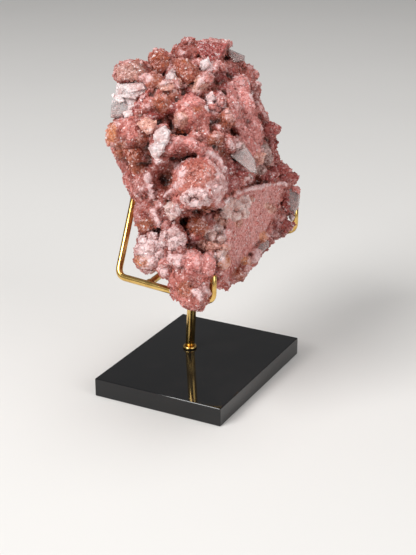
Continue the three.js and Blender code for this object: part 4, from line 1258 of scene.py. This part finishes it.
def collar():
    """A thin turned ring round the post's foot."""
    inner = POST_RADIUS_MM + COLLAR_GAP_MM
    outline = [(COLLAR_RADIUS_MM - inset, height) for inset, height in COLLAR_OUTLINE_MM]
    profile = [(inner, outline[0][1]), *outline, (inner, outline[-1][1])]
    vertices = []
    for k in range(COLLAR_SIDES):
        angle = 2 * math.pi * k / COLLAR_SIDES
        for radius, height in profile:
            vertices.append(easel((
                POST_FOOT_MM[0] + radius * math.cos(angle),
                POST_FOOT_MM[1] + radius * math.sin(angle),
                BASE_SIZE_MM[2] + 0.3 + height,
            )))
    rows = len(profile)
    faces = []
    for k in range(COLLAR_SIDES):
        this, after = k * rows, (k + 1) % COLLAR_SIDES * rows
        for i in range(rows):
            j = (i + 1) % rows
            faces.append((this + i, after + i, after + j, this + j))
    return new_object("post_ring", vertices, faces, smooth=True)


def base():
    """The slab, with fine rounded edges."""
    x, y, z = (c / 2 * MM for c in BASE_SIZE_MM)
    corners = [(sx * x, sy * y, z + sz * z) for sx in (-1, 1) for sy in (-1, 1) for sz in (-1, 1)]
    faces = [(0, 1, 3, 2), (4, 6, 7, 5), (0, 4, 5, 1), (2, 3, 7, 6), (0, 2, 6, 4), (1, 5, 7, 3)]
    slab = new_object("base_slab", corners, faces)
    with_modifier(slab, "BEVEL", width=BASE_BEVEL_MM * MM, segments=3, profile=0.6, limit_method="ANGLE")
    return slab


def place(obj, slot, *replaced):
    """Puts a piece on the only body, in place of the CAD nodes it replaces. The slot is not used."""
    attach(obj, "root")
    if replaced:
        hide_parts(*replaced)


def build_stand():
    brass, black = brass_material(), black_material()
    slab = base()
    slab.data.materials.append(black)
    place(slab, "black_slab", "base")
    pieces = [
        ("left_arm", tube("left_arm_wire", bent_line(arm_points(-1), WIRE_BEND_MM), WIRE_RADIUS_MM)),
        ("right_arm", tube("right_arm_wire", bent_line(arm_points(1), WIRE_BEND_MM), WIRE_RADIUS_MM)),
        ("cross_bar", cross_bar()),
        ("post", post()),
        ("post_collar", collar()),
    ]
    for node_name, obj in pieces:
        obj.data.materials.append(brass)
        place(obj, "brass", node_name)


def build_stone():
    stone, points, clear, knobs = stone_form()
    paint(stone)
    shade(stone.data, True)
    crust = crust_material("calcite_crust", for_grains=False)
    grains = crust_material("calcite_druse", for_grains=True)
    glass = clear_material()
    for obj in (stone, points, knobs):
        obj.data.materials.append(crust)
    surface = skin((stone, knobs, points))
    for row in DRUSE:
        place(druse_object(row, surface, grains), "calcite")
    for crystal in clear:
        crystal.data.materials.append(glass)
        place(crystal, "calcite")
    place(points, "calcite")
    place(knobs, "calcite")
    place(stone, "calcite", STONE_NODE)


# Floor, lights and camera

# The square lights: name, place and side in mm, and watts
LIGHTS = [
    ("key", (-560, -1450, 1360), 1000, 39),
    ("fill", (1700, -560, 900), 1150, 12),
    ("top", (130, 130, 2000), 1200, 14),
]
LIT_PLACE_MM = (0, 0, 120)
FLOOR_REACH = 6.0
ROOM_COLOUR = (0.90, 0.90, 0.91)
ROOM_LIGHT = 0.22


def area_light(name, place_mm, side_mm, watts):
    data = bpy.data.lights.new(name, "AREA")
    data.size = side_mm * MM
    data.energy = watts
    light = linked(name, data)
    light.location = Vector(place_mm) * MM
    aim = Vector(LIT_PLACE_MM) * MM - light.location
    light.rotation_euler = aim.to_track_quat("-Z", "Y").to_euler()


def build_room():
    corners = [(x * FLOOR_REACH, y * FLOOR_REACH, 0) for x, y in ((-1, -1), (1, -1), (1, 1), (-1, 1))]
    floor = new_object("floor", corners, [(0, 1, 2, 3)])
    floor.data.materials.append(floor_material())
    world = bpy.data.worlds.new("studio")
    bpy.context.scene.world = world
    world.use_nodes = True
    node(world.node_tree, world.node_tree.nodes["Background"], Color=ROOM_COLOUR, Strength=ROOM_LIGHT)
    for row in LIGHTS:
        area_light(*row)
    camera_data = bpy.data.cameras.new("camera")
    camera_data.lens = CAMERA_LENS
    camera_data.sensor_width = 36
    camera_data.clip_start, camera_data.clip_end = 0.01, 50
    camera = linked("camera", camera_data)
    camera.location = Vector(CAMERA_PLACE_MM) * MM
    camera.rotation_euler = (math.radians(90 - CAMERA_DOWN), 0, turn)
    bpy.context.scene.camera = camera
    bpy.context.scene.view_settings.view_transform = "Standard"


build_stand()
build_stone()
build_room()
